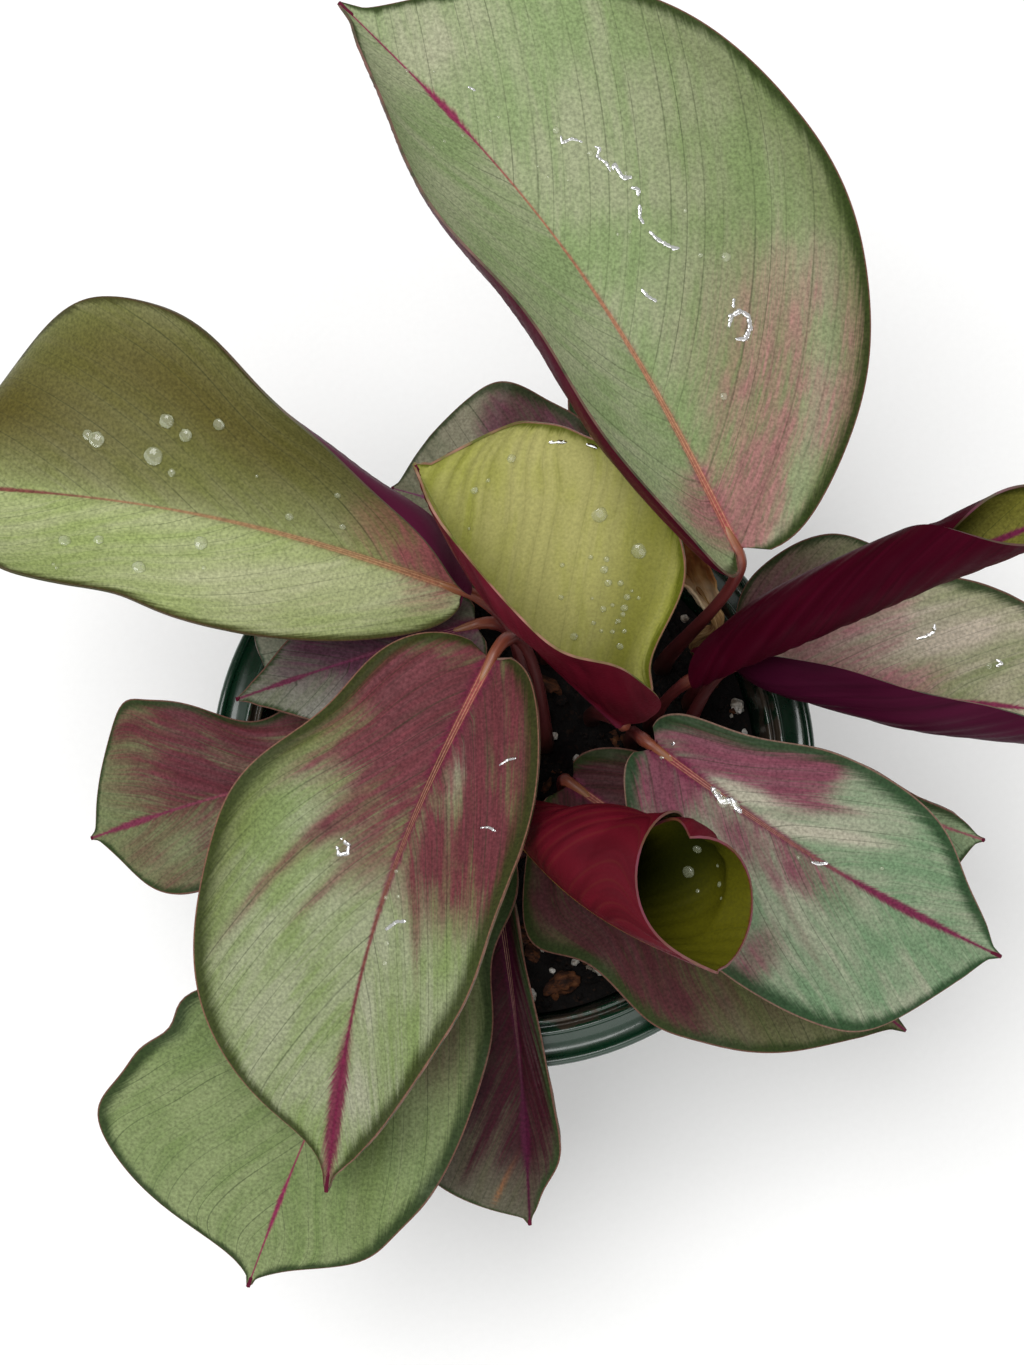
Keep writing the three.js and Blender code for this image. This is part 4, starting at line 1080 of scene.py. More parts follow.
def dried_stalk_skin():
    """Dead stalk: shrunken tan fibres with a dull surface."""
    material, tree, shader = new_material("dried_petiole_fibre", Roughness=0.8,
                                          Specular_IOR_Level=0.3)
    flow = node(tree, "ShaderNodeUVMap", uv_map="flow")
    fibres = clouded(tree, stretched(tree, flow, (24.0, 4.0, 1)), 1.0, 4.0)
    colour = ramp(tree, fibres, ((0.3, "5a3a20"), (0.5, "a07a4c"), (0.7, "c8a878")))
    dress(tree, shader, colour, relief=(fibres, 0.7, 0.4))
    return material


def pot_plastic(settings):
    """Injection-moulded polypropylene: deep green, glossy, with a faint orange-peel, dried
    splashes of soil low in the rim's grooves and fine dust, and painted light that makes it
    lighter on its left than on its right."""
    material, tree, shader = new_material("green_polypropylene", IOR=1.49, Coat_Weight=0.4,
                                          Coat_Roughness=0.06)
    place = node(tree, "ShaderNodeTexCoord", output="Object")
    peel = mottled(tree, place, 4)
    smear = mottled(tree, place, 9, 5.0, 0.65)
    painted_light_across = node(tree, "ShaderNodeSeparateXYZ", {0: place})
    height = node(tree, "ShaderNodeSeparateXYZ", {0: place}, 2)
    level = stretched(tree, place, (1, 1, 0))
    radius = node(tree, "ShaderNodeVectorMath", {0: level}, 1, operation="LENGTH")

    # Soil sticks inside the raised ring and high on the wall, where the smears are thick
    inside = ranged(tree, radius, (66.2 * MM, 68.4 * MM), (0.22, -0.2), soft=True)
    high = ranged(tree, height, (98 * MM, 112 * MM))
    soiled = reckon(tree, "MULTIPLY_ADD", inside, high, smear)
    soiled = ranged(tree, soiled, (0.66, 0.76), (0.0, 0.8), soft=True)
    # Painted light: the pot is painted lighter on its left, towards the overhead softbox, and
    # darker on its right
    tone = ranged(tree, painted_light_across, (-75 * MM, 75 * MM), (1.15, 0.9))
    colour = toned(tree, tuple(settings.colour), tone)
    colour = blend(tree, soiled, colour, rgba("3c2a1c"))
    rough = ranged(tree, smear, (0.3, 0.8), (0.16, 0.42))
    rough = reckon(tree, "MULTIPLY_ADD", soiled, 0.5, rough, clamp=True)
    relief = reckon(tree, "MULTIPLY_ADD", soiled, 2.0, peel)
    dress(tree, shader, colour, rough, (relief, 0.12, 0.3))
    return material


def peat(name, light, dark, grain):
    """Moist peat and composted bark: near black, crumbly, with brown fibres, and grains of
    a size in millimetres."""
    material, tree, shader = new_material(name, Roughness=0.85, Specular_IOR_Level=0.35)
    place = node(tree, "ShaderNodeTexCoord", output="Object")
    clods = mottled(tree, place, 2 * grain, 6.0, 0.7)
    mixed = reckon(tree, "MULTIPLY_ADD", celled(tree, place, grain), -0.35, clods)
    colour = ramp(tree, mixed, ((0.12, dark), (0.4, dark), (0.56, light), (0.7, dark)))
    dress(tree, shader, colour, relief=(mixed, 0.9, 0.6 * grain))
    return material


def bark_wood():
    """Composted pine bark: split flakes, red-brown inside and grey-brown outside, with
    layers about 1 mm thick."""
    material, tree, shader = new_material("pine_bark", Roughness=0.8, Specular_IOR_Level=0.35)
    place = node(tree, "ShaderNodeTexCoord", output="Object")
    layers = mottled(tree, stretched(tree, place, (0.35, 1.0, 1.6)), 1.6, 5.0, 0.65)
    colour = ramp(tree, layers, ((0.3, "150b07"), (0.48, "3d2214"), (0.62, "6b3f22"),
                                 (0.78, "8c6340")))
    dress(tree, shader, colour, relief=(layers, 0.8, 0.6))
    return material


def perlite_foam():
    """Expanded volcanic glass: chalky white foam with pits 0.6 mm apart and soil stains."""
    material, tree, shader = new_material("perlite_foam", Roughness=0.9,
                                          Specular_IOR_Level=0.3)
    place = node(tree, "ShaderNodeTexCoord", output="Object")
    pits = celled(tree, place, 0.6)
    stain = mottled(tree, place, 3, 3.0)
    colour = ramp(tree, stain, ((0.38, "8d8272"), (0.5, "cfc8ba"), (0.6, "e9e6dd")))
    tone = ranged(tree, pits, (0.0, 0.5), (0.7, 1.05))
    dress(tree, shader, toned(tree, colour, tone), relief=(pits, 0.8, 0.4))
    return material


def see_through(tree, shader, tipped, shares, soft=False):
    """Lets what lies below a film of water show. The water's own share goes from the first
    value, where it is seen face on, to the second, where it tips away."""
    share = ranged(tree, tipped, (0.2, 0.8), shares, soft)
    clear = node(tree, "ShaderNodeBsdfTransparent")
    film = node(tree, "ShaderNodeMixShader", {0: share, 1: clear, 2: shader.outputs[0]})
    tree.links.new(film, tree.nodes["Material Output"].inputs["Surface"])


def standing_water():
    """A drop on a leaf: the leaf shows through a pale film, painted light that stands in for
    the light the drop gathers, and its rim is painted dark, painted shade where the drop
    bends the light away. It has a sharp glint."""
    material, tree, shader = new_material("standing_water", Roughness=0.04, Coat_Weight=1.0,
                                          Coat_IOR=2.2, Coat_Roughness=0.03)
    tipped = node(tree, "ShaderNodeLayerWeight", {"Blend": 0.5}, "Facing")
    # Painted light and shade: the drop is painted pale face on and dark at its rim
    dress(tree, shader, ramp(tree, tipped, ((0.1, "e4eac8"), (0.5, "d0d8b0"), (0.72, "4a4c30"),
                                            (0.9, "2c2e1c"))))
    see_through(tree, shader, tipped, (0.22, 0.6), soft=True)
    return material


def running_water():
    """A narrow run of water, whose quivering back of 1 mm ripples mirrors the daylight, so
    that it shows as a white line with the leaf through it."""
    material, tree, shader = new_material("running_water", Base_Color=(1, 1, 1, 1),
                                          Metallic=1.0, Roughness=0.12)
    place = node(tree, "ShaderNodeTexCoord", output="Object")
    dress(tree, shader, relief=(mottled(tree, place, 1), 0.7, 0.3))
    tipped = node(tree, "ShaderNodeLayerWeight", {"Blend": 0.5}, "Facing")
    see_through(tree, shader, tipped, (0.65, 0.5))
    return material


def studio_floor(settings):
    """Matt paper sweep, almost white, with a very faint tooth."""
    material, tree, shader = new_material("paper_sweep", Roughness=0.9,
                                          Specular_IOR_Level=0.2)
    place = node(tree, "ShaderNodeTexCoord", output="Object")
    tone = ranged(tree, mottled(tree, place, 2), (0.0, 1.0), (0.98, 1.02))
    dress(tree, shader, toned(tree, tuple(settings.floor), tone))
    return material


# Pieces


def blade_skin(leaf, settings):
    """The blade's upper skin as a grid: its shares along and across, its surface in
    millimetres and which way that faces, and for the colours the count of its veins, its half
    widths, the distance from the midrib and the midrib's swell."""
    columns, rows = DIVISIONS[leaf["size"]]
    even = np.linspace(0, 1, rows + 1)
    t = mix(even, 0.5 - 0.5 * np.cos(math.pi * even), ROWS_TO_ENDS)
    s = np.linspace(-1, 1, columns + 1)
    places = blade_surface(leaf, t, s)
    facing = unit(np.cross(np.gradient(places, axis=1), np.gradient(places, axis=0)))
    length = blade_length(leaf)
    t_grid, s_grid = np.meshgrid(t, s, indexing="ij")
    widths = np.where(s_grid < 0, half_width(leaf, t_grid, "left"),
                      half_width(leaf, t_grid, "right"))
    from_rib = np.abs(s_grid) * widths
    vein = vein_start(leaf, t_grid, s_grid) * length * MM / settings.vein_spacing
    vein += VEIN_STEP * np.clip(-s_grid / VEIN_STEP_SHARE, 0, 1)
    vein += sum(height * np.sin(pace * vein + turn * length)
                for height, pace, turn in VEIN_DRIFT)
    rib = np.exp(-(from_rib / RIB_SPREAD) ** 2)
    inside = (np.clip((1 - np.abs(s_grid)) / PLEAT_FROM_MARGIN, 0, 1)
              * np.clip(from_rib / PLEAT_FROM_RIB, 0, 1))
    relief = PLEAT_HEIGHT * np.sin(2 * math.pi * vein) * inside
    relief -= CHANNEL_DEPTH * rib * np.sqrt(1 - t_grid)
    relief += 0.5 * settings.thickness / MM
    if leaf["name"] == "dried":
        relief += crumple(places)
    return SimpleNamespace(t=t, s=s, t_grid=t_grid, s_grid=s_grid,
                           surface=places + facing * relief[..., None], facing=facing,
                           vein=vein, widths=widths, from_rib=from_rib, rib=rib)


def keep_colouring(piece, leaf, look, skin):
    """Stores on a blade's vertices, row by row, what its materials read."""
    band = np.minimum(1, MARGIN_ROOM * skin.widths / look["margin_mm"])
    large = SMALL_RIB + (1 - SMALL_RIB) * blade_length(leaf) / LARGE_LENGTH
    thinned = np.clip(1 - skin.t_grid / RIB_FADES, 0, 1)
    rib_half = large * (RIB_END + (RIB_START - RIB_END) * thinned)
    where, reach, broad = look["spindle"]
    spindle = np.exp(-((skin.t_grid - where) / reach) ** 2
                     - (skin.from_rib / (large * broad)) ** 2)
    shares = skin.t_grid, skin.s_grid
    keep_values(
        piece,
        rib=(skin.from_rib / rib_half).ravel(),
        edge=((1 - np.abs(skin.s_grid)) * skin.widths / band).ravel(),
        along=skin.t_grid.ravel(),
        spindle=spindle.ravel(),
        plum=patches(leaf, *shares, look["plums"], look["clouds"]).ravel(),
        # The deep values hold painted shade and the pale values painted sheen, beside the leaf's
        # own tones
        deep=patches(leaf, *shares, look["shades_and_deep_tones"]).ravel(),
        pale=patches(leaf, *shares, look["silver_and_sheen"]).ravel(),
    )
    first_vein = VEINS_BETWEEN_LEAVES * LEAVES.index(leaf)
    keep_flow(piece, skin.vein.ravel() + first_vein, skin.from_rib.ravel())


def raise_midrib(piece, skin):
    """Lets a thickened blade's lower skin stand out under its midrib."""
    count = skin.t_grid.size
    if len(piece.data.vertices) != 2 * count:
        raise RuntimeError(f"{piece.name} has lost vertices")
    swell = (MIDRIB_DEPTH * (1 - skin.t_grid) ** MIDRIB_THINS * skin.rib).ravel()
    flat = np.empty(6 * count)
    piece.data.vertices.foreach_get("co", flat)
    flat = flat.reshape(-1, 3)
    flat[count:] -= skin.facing.reshape(-1, 3) * swell[:, None] * MM
    piece.data.vertices.foreach_set("co", flat.ravel())
    piece.data.update()


def make_blade(leaf, settings):
    """One blade: a grid laid on the leaf's surface, thickened, with its midrib raised below."""
    skin = blade_skin(leaf, settings)
    rows, columns = len(skin.t) - 1, len(skin.s) - 1
    look = LOOKS.get(leaf["name"], LOOK_DEFAULTS)

    def place(across, along):
        column = np.rint(across * columns).astype(int)
        row = np.rint(along * rows).astype(int)
        return skin.surface[row, column]

    piece = wrapped_grid(f"leaf_{leaf['name']}", columns, rows, place)
    order = np.empty(3 * len(piece.data.vertices))
    piece.data.vertices.foreach_get("co", order)
    if not np.allclose(order, skin.surface.ravel() * MM, atol=1e-6):
        raise RuntimeError("the grid's vertices aren't in rows")
    keep_colouring(piece, leaf, look, skin)

    name = leaf["name"]
    dried = name == "dried"
    if dried:
        paper = dried_blade()
        finishes = (paper, paper, paper)
    else:
        spacing = settings.vein_spacing / MM
        finishes = (blade_upper(name, look, spacing), blade_under(name, look, spacing),
                    blade_edge(name, look))
    for material in finishes:
        piece.data.materials.append(material)
    apply_modifier(piece, "SOLIDIFY", thickness=settings.thickness, offset=-1,
                   material_offset=1, material_offset_rim=2, use_quality_normals=True)
    raise_midrib(piece, skin)
    smooth(piece, 55)
    finish_piece(piece, "leaf_dried" if dried else look["slot"], f"blade_{name}")


def crumple(places):
    """How far a dead blade's wrinkles lift each place, in millimetres."""
    lifts = [sum(height * noise.noise(Vector(place) * pace) for height, pace in DEAD_WRINKLES)
             for place in places.reshape(-1, 3)]
    return np.array(lifts).reshape(places.shape[:2])


def between(skin, grid, across, along):
    """A grid's value between its rows and columns, at one place across and along."""
    column = np.interp(across, skin.s, np.arange(len(skin.s)))
    row = np.interp(along, skin.t, np.arange(len(skin.t)))
    i, j = min(int(row), len(skin.t) - 2), min(int(column), len(skin.s) - 2)
    near = mix(grid[i, j], grid[i, j + 1], column - j)
    far = mix(grid[i + 1, j], grid[i + 1, j + 1], column - j)
    return mix(near, far, row - i)


def drop_shape(ball, middle, up, radius, rand):
    """A drop in millimetres: a dented dome on a flat foot just under the skin."""
    vertices, faces = ball
    ahead = unit(np.cross(up, (0.2, -0.4, 0.9)))
    beside = np.cross(ahead, up)
    offset = Vector((rand.uniform(0, 50), rand.uniform(0, 50), 0))
    dents = [1 + DROP_DENT * noise.noise(Vector(v) * DROP_DENT_PACE + offset)
             for v in vertices]
    flat = vertices[:, :2] * np.array(dents)[:, None] * radius
    tall = mix(DROP_SMALL, DROP_LARGE, min(1, radius / DROP_FLAT)) * radius
    height = np.where(vertices[:, 2] > 0, vertices[:, 2] * tall, vertices[:, 2] * WATER_FOOT)
    own = middle + flat[:, :1] * ahead + flat[:, 1:] * beside + height[:, None] * up
    return own, faces


def run_shape(points, ups, half_width, rand):
    """A run of water in millimetres: a low rounded ridge along its points, beaded."""
    points, ups = np.array(points), np.array(ups)
    lengths = np.concatenate([[0], np.cumsum(np.linalg.norm(np.diff(points, axis=0), axis=1))])
    count = max(RUN_FEWEST, int(lengths[-1] / RUN_STEP))
    at = np.linspace(0, lengths[-1], count)
    middle = np.stack([np.interp(at, lengths, points[:, k]) for k in range(3)], 1)
    up = unit(np.stack([np.interp(at, lengths, ups[:, k]) for k in range(3)], 1))
    beside = unit(np.cross(np.gradient(middle, axis=0), up))
    end = np.sqrt(np.clip(1 - np.linspace(-1, 1, count) ** RUN_BLUNTNESS, 0.02, 1))
    start = rand.uniform(0, 50)
    bead = np.array([1 + RUN_BEAD * noise.noise(Vector((start + k * RUN_BEAD_PACE, 0, 0)))
                     for k in range(count)])
    half = half_width * end * bead
    angles = np.linspace(0, 2 * math.pi, RUN_SIDES, endpoint=False)
    rings = []
    for angle in angles:
        lift = math.sin(angle)
        height = RUN_HEIGHT * half * lift if lift > 0 else WATER_FOOT * end * lift
        rings.append(middle + (half * math.cos(angle))[:, None] * beside + height[:, None] * up)
    own = np.stack(rings, 1).reshape(-1, 3)
    faces = []
    for k in range(count - 1):
        for side in range(RUN_SIDES):
            after = (side + 1) % RUN_SIDES
            faces.append((k * RUN_SIDES + side, k * RUN_SIDES + after,
                          (k + 1) * RUN_SIDES + after, (k + 1) * RUN_SIDES + side))
    faces.append(tuple(reversed(range(RUN_SIDES))))
    faces.append(tuple((count - 1) * RUN_SIDES + side for side in range(RUN_SIDES)))
    return own, faces


def make_water(settings, blades):
    """The drops and the runs of water that lie on each blade, as two pieces a blade."""
    rand = random.Random(settings.seed)
    large_ball = base_shape("ico_sphere", subdivisions=4, radius=1)
    small_ball = base_shape("ico_sphere", subdivisions=3, radius=1)
    standing, running = standing_water(), running_water()
    for name, (drops, runs) in WATER.items():
        skin = blade_skin(LEAF[name], blades)
        drop_copies, run_copies = [], []
        for across, along, radius in drops:
            middle = between(skin, skin.surface, across, along)
            up = unit(between(skin, skin.facing, across, along))
            ball = large_ball if radius > DROP_FINE else small_ball
            drop_copies.append(drop_shape(ball, middle, up, settings.scale * radius, rand))
        for half, *places in runs:
            points = [between(skin, skin.surface, *place) for place in places]
            ups = [between(skin, skin.facing, *place) for place in places]
            run_copies.append(run_shape(points, ups, settings.scale * half, rand))
        for kind, copies, water in (("drops", drop_copies, standing),
                                    ("runs", run_copies, running)):
            if not copies:
                continue
            piece = joined_copies(f"water_{kind}_{name}", copies)
            pick(piece)
            bpy.ops.object.mode_set(mode="EDIT")
            close_edit()
            piece.data.materials.append(water)
            smooth(piece, 80)
            finish_piece(piece, None)


def bezier(points, share):
    """Places on a cubic curve, and the way it runs there."""
    a, b, c, d = (np.array(p, float) for p in points)
    u = share[:, None]
    v = 1 - u
    places = v ** 3 * a + 3 * v ** 2 * u * b + 3 * v * u ** 2 * c + u ** 3 * d
    heading = 3 * v ** 2 * (b - a) + 6 * v * u * (c - b) + 3 * u ** 2 * (d - c)
    return places, unit(heading)


def stalk_path(leaf):
    """The stalk's middle line from its foot in the mix to where it runs out under the
    midrib, with its heading and its radius, ring by ring."""
    point, along, _, up = midrib(leaf, 0.0)
    neck, ahead, above = point[0], along[0], up[0]
    foot = np.array([*leaf["root"], SOIL_LEVEL - STALK_DEPTH], float)
    collar = np.array([*leaf["root"], SOIL_LEVEL + STALK_COLLAR], float)
    end = neck - ahead * GAP
    reach = np.linalg.norm(end - collar)
    share = np.linspace(0, 1, STALK_RINGS)
    bend, heading = bezier((collar, collar + np.array([0, 0, STALK_RISE * reach]),
                            end - ahead * leaf["run"] * reach, end), share)
    under = np.linspace(*TAIL_SHARES)[:, None]
    tail = end + ahead * STALK_TAIL * under - above * STALK_TAIL_DROP * np.sqrt(under)
    buried = foot + (collar - foot) * np.array([0, 0.35, 0.7])[:, None]
    places = np.concatenate([buried, bend, tail])
    headings = np.concatenate([np.tile([0.0, 0, 1], (3, 1)), heading,
                               np.tile(ahead, (len(tail), 1))])
    return places, headings, share


def make_stalk(leaf, settings, material):
    """One leaf stalk: sheathed and broad at the foot, slim above, swollen at the joint."""
    places, headings, share = stalk_path(leaf)
    foot, neck = settings.foot_radius / MM, settings.neck_radius / MM
    sheath = mix(foot, neck, np.clip(share / SHEATH_SHARE, 0, 1) ** 0.7)
    joint = JOINT_SWELL * np.exp(-((share - JOINT_SHARE) / JOINT_REACH) ** 2)
    radius = np.concatenate([[foot * 0.6, foot, foot], sheath + joint,
                             neck * np.sqrt(1 - np.linspace(*TAIL_SHARES) ** 2)])
    rings = len(places)
    frame_x = np.zeros((rings, 3))
    guide = np.array([1.0, 0, 0])
    for ring in range(rings):
        guide = unit(guide - headings[ring] * guide.dot(headings[ring]))
        frame_x[ring] = guide
    frame_y = np.cross(headings, frame_x)
    dried = leaf["name"] == "dried"
    wrinkle = 0.14 if dried else 0.035

    def place(across, along):
        ring = np.rint(along * (rings - 1)).astype(int)
        angle = 2 * math.pi * across
        grooved = 1 + wrinkle * np.cos(3 * angle + 0.15 * ring) + wrinkle * np.sin(5 * angle)
        spread = (radius[ring] * grooved)[:, None]
        return (places[ring] + spread * np.cos(angle)[:, None] * frame_x[ring]
                + spread * np.sin(angle)[:, None] * frame_y[ring])

    piece = wrapped_grid(f"petiole_{leaf['name']}", STALK_SIDES, rings - 1, place)
    piece.data.uv_layers.active.name = "flow"
    pick(piece)
    bpy.ops.object.mode_set(mode="EDIT")
    bpy.ops.mesh.select_all(action="SELECT")
    bpy.ops.mesh.remove_doubles(threshold=1e-6)
    bpy.ops.mesh.select_all(action="DESELECT")
    bpy.ops.mesh.select_non_manifold()
    bpy.ops.mesh.edge_face_add()
    close_edit()
    piece.data.materials.append(material)
    smooth(piece, 60)
    finish_piece(piece, "stalk_dried" if dried else "stalk", f"stalk_{leaf['name']}")


def arc(middle, radius, start, end, steps):
    """Points of a profile on a circle's arc, with angles in degrees."""
    angles = np.radians(np.linspace(start, end, steps))
    return [(middle[0] + radius * math.cos(a), middle[1] + radius * math.sin(a)) for a in angles]


def pot_profile(top, rim):
    """The wall's section from the middle of the floor below, round the rim, to the middle of
    the floor above: a bead at the edge, a dished band, a raised ring, a groove and a lip."""
    foot = [(46, 0), *arc((48.7, 1.0), 1.0, -90, -6, 5)]
    under = [(64.6, top - 6.4), *arc((66.2, top - 6.4), 1.2, 180, 90, 5),
             *arc((rim - 4.2, top - 7.2), 2.0, 90, 0, 6)]
    skirt = [(rim - 2.2, top - 14.4), *arc((rim - 1.5, top - 14.4), 0.6, 180, 360, 9)]
    bead = arc((rim - 1.1, top - 1.2), 1.1, 0, 178, 13)
    dish = [(rim - 3.2, top - 1.75), (rim - 4.5, top - 1.8), (69.4, top - 1.5)]
    ring = arc((67.0, top - 0.75), 0.75, 160, 15, 9)
    groove = [(66.0, top - 1.9), *arc((65.4, top - 2.2), 0.5, -10, -170, 6)]
    lip = arc((64.2, top - 0.6), 0.6, 10, 178, 9)
    inside = [(63.4, top - 2.6), (62.6, top - 10), (49.6, 5.2), *arc((47.6, 5.0), 2.0, -5, -90, 6)]
    return [*foot, *under, *skirt, *bead, *dish, *ring, *groove, *lip, *inside]


def make_pot(settings):
    """The pot: a ring drawn up, out over the rim and down inside, with drain holes cut."""
    top = settings.height / MM
    profile = pot_profile(top, settings.rim_radius / MM)
    deselect()
    first = profile[0]
    bpy.ops.mesh.primitive_circle_add(vertices=POT_SIDES, radius=first[0] * MM,
                                      fill_type="TRIFAN", location=(0, 0, first[1] * MM))
    pot = bpy.context.object
    pot.name = "nursery_pot"
    pot.data.name = "nursery_pot"
    bpy.ops.object.transform_apply(location=True, rotation=False, scale=False)
    bpy.ops.object.mode_set(mode="EDIT")
    bpy.ops.mesh.select_all(action="DESELECT")
    bpy.ops.mesh.select_mode(type="EDGE")
    bpy.ops.mesh.select_non_manifold()
    last = first
    for radius, height in profile[1:]:
        bpy.ops.mesh.extrude_region_move(
            TRANSFORM_OT_translate={"value": (0, 0, (height - last[1]) * MM)})
        scale = radius / last[0]
        bpy.ops.transform.resize(value=(scale, scale, 1))
        last = (radius, height)
    bpy.ops.mesh.edge_face_add()
    bpy.ops.mesh.poke()
    close_edit()
    cutters = []
    for k in range(DRAINS):
        angle = math.radians(360 / DRAINS * k)
        deselect()
        bpy.ops.mesh.primitive_cylinder_add(
            vertices=32, radius=DRAIN_RADIUS * MM, depth=20 * MM,
            location=(DRAIN_CIRCLE * MM * math.cos(angle), DRAIN_CIRCLE * MM * math.sin(angle),
                      2 * MM))
        cutters.append(bpy.context.object)
    deselect()
    for cutter in cutters:
        cutter.select_set(True)
    bpy.context.view_layer.objects.active = cutters[0]
    bpy.ops.object.join()
    drill = bpy.context.object
    apply_modifier(pot, "BOOLEAN", object=drill, operation="DIFFERENCE", solver="EXACT")
    bpy.data.objects.remove(drill)
    pot.data.materials.clear()
    pot.data.materials.append(pot_plastic(settings))
    smooth(pot, 35)
    finish_piece(pot, "pot_plastic", "pot")


def soil_height(x, y):
    """Height of the mix in millimetres, as in the solid."""
    reach = math.hypot(x - CROWN[0], y - CROWN[1]) / MOUND_REACH
    mound = SOIL_MOUND * math.exp(-reach * reach)
    lumps = (math.sin(0.31 * x + 1.3) * math.cos(0.27 * y - 0.4)
             + 0.6 * math.sin(0.53 * y + 0.22 * x))
    return SOIL_LEVEL - SOIL_HOLLOW + mound + SOIL_LUMP * lumps


def make_soil():
    """The mix: a lumpy top that meets the wall, and plain sides and floor inside the pot."""
    side_starts = 0.8
    floor_starts = 0.9

    def place(across, along):
        radius = np.interp(along, (0, side_starts, floor_starts, 1),
                           (0, MIX_TOP_RADIUS, MIX_FLOOR_RADIUS, 0))
        angle = 2 * math.pi * across
        x, y = radius * np.cos(angle), radius * np.sin(angle)
        height = np.interp(along, (side_starts, floor_starts),
                           (SOIL_LEVEL - MIX_WALL_DROP, MIX_FLOOR))
        for k in np.flatnonzero(along <= side_starts):
            height[k] = soil_height(x[k], y[k])
            for crumb, pace, layer in MIX_CRUMBS:
                height[k] += crumb * noise.noise(Vector((x[k], y[k], layer)) * pace)
        return np.stack([x, y, height], 1)

    piece = wrapped_grid("potting_mix", 200, 100, place, closed=True)
    piece.data.materials.append(peat("moist_peat", "2c1b10", "0b0705", 1.3))
    smooth(piece, 40)
    finish_piece(piece, "potting_mix", "soil")


def rough_shape(shape, rand, size, roughness, turn=None):
    """A copy of a shape in millimetres, stretched, dented by its own noise and turned."""
    vertices, faces = shape
    offset = Vector((rand.uniform(0, 50), rand.uniform(0, 50), rand.uniform(0, 50)))
    dents = np.array([1 + roughness * noise.noise(Vector(v) * DENT_PACE + offset)
                      for v in vertices])
    own = vertices * dents[:, None] * np.array(size)
    angles = turn or (rand.uniform(-0.5, 0.5), rand.uniform(-0.5, 0.5), rand.uniform(0, 6.3))
    for axis, angle in enumerate(angles):
        a, b = [(1, 2), (2, 0), (0, 1)][axis]
        c, s = math.cos(angle), math.sin(angle)
        own[:, a], own[:, b] = c * own[:, a] - s * own[:, b], s * own[:, a] + c * own[:, b]
    return own, faces


def scatter_on_mix(rand, count, size, flatness, roughness, shape, rise):
    """Copies of a shape strewn evenly over the mix, each nearly half sunk in it."""
    copies = []
    for _ in range(count):
        radius = LITTER_CIRCLE * math.sqrt(rand.random())
        angle = rand.uniform(0, 2 * math.pi)
        x, y = radius * math.cos(angle), radius * math.sin(angle)
        big = rand.uniform(*size)
        own, faces = rough_shape(shape, rand, (big, big * rand.uniform(*flatness[0]),
                                               big * rand.uniform(*flatness[1])), roughness)
        own += np.array([x, y, soil_height(x, y) + rise * big])
        copies.append((own, faces))
    return copies


def make_litter(settings):
    """Crumbs, bark and perlite: the large ones that the solids carry, and many small ones."""
    rand = random.Random(settings.seed)
    ball = base_shape("ico_sphere", subdivisions=2, radius=1)
    fine_ball = base_shape("ico_sphere", subdivisions=4, radius=1)
    finishes = {"bark": bark_wood(), "perlite": perlite_foam(),
                "potting_mix": peat("peat_crumb", "3a2415", "0d0806", 0.9)}
    for name, (slot, (x, y), size, turn) in CHIPS.items():
        own, faces = rough_shape(fine_ball, rand, size, CHIP_ROUGHNESS[slot], (0, 0, turn))
        own += np.array([x, y, soil_height(x, y) + CHIP_RISE * size[2]])
        piece = joined_copies(f"litter_{name}", [(own, faces)])
        piece.data.materials.append(finishes[slot])
        smooth(piece, 40)
        finish_piece(piece, slot, name)
    for name, (slot, fewer, size, flatness, roughness, rise) in LITTER.items():
        copies = scatter_on_mix(rand, settings.crumbs // fewer, size, flatness, roughness,
                                ball, rise)
        piece = joined_copies(name, copies)
        piece.data.materials.append(finishes[slot])
        smooth(piece, 30)
        finish_piece(piece, slot)


def set_stage(settings):
    """Paper sweep, soft lights and the camera almost straight above the plant."""
    scene = bpy.context.scene
    deselect()
    bpy.ops.mesh.primitive_plane_add(size=6)
    floor = bpy.context.object
    floor.name = "floor"
    floor.data.materials.append(studio_floor(settings))
    for name, where, size, share in SOFTBOXES:
        deselect()
        bpy.ops.object.light_add(type="AREA", location=where)
        light = bpy.context.object
        light.name = name
        light.data.size = size
        light.data.energy = share * settings.key_power
        aim = Vector(LIGHTS_AIM) - Vector(where)
        light.rotation_euler = aim.to_track_quat("-Z", "Y").to_euler()
    world = bpy.data.worlds.new("white_room")
    scene.world = world
    world.use_nodes = True
    back = world.node_tree.nodes["Background"]
    back.inputs["Color"].default_value = (1, 1, 1, 1)
    back.inputs["Strength"].default_value = settings.room_light
    scene.view_settings.view_transform = "Standard"
    scene.view_settings.look = "None"

    deselect()
    forward = CAMERA_FORWARD * settings.tilt
    bpy.ops.object.camera_add(
        location=(0, -settings.distance * math.sin(forward),
                  settings.aim_height + settings.distance * math.cos(forward)),
        rotation=(settings.tilt, 0, 0))
    camera = bpy.context.object
    camera.name = "overhead_camera"
    camera.data.lens = settings.lens
    camera.data.sensor_width = 36
    camera.data.shift_x = settings.shift
    camera.data.clip_start = 0.01
    scene.camera = camera


# Settings that a user would change


class BladeSettings(bpy.types.PropertyGroup):
    """Sizes of the blades"""

    thickness: FloatProperty(name="Thickness", description="Blade away from its midrib",
                             default=0.55 * MM, min=0.1 * MM, unit="LENGTH")
    vein_spacing: FloatProperty(name="Vein spacing", min=1 * MM, unit="LENGTH",
                                description="Main lateral veins along the midrib",
                                default=6.2 * MM)


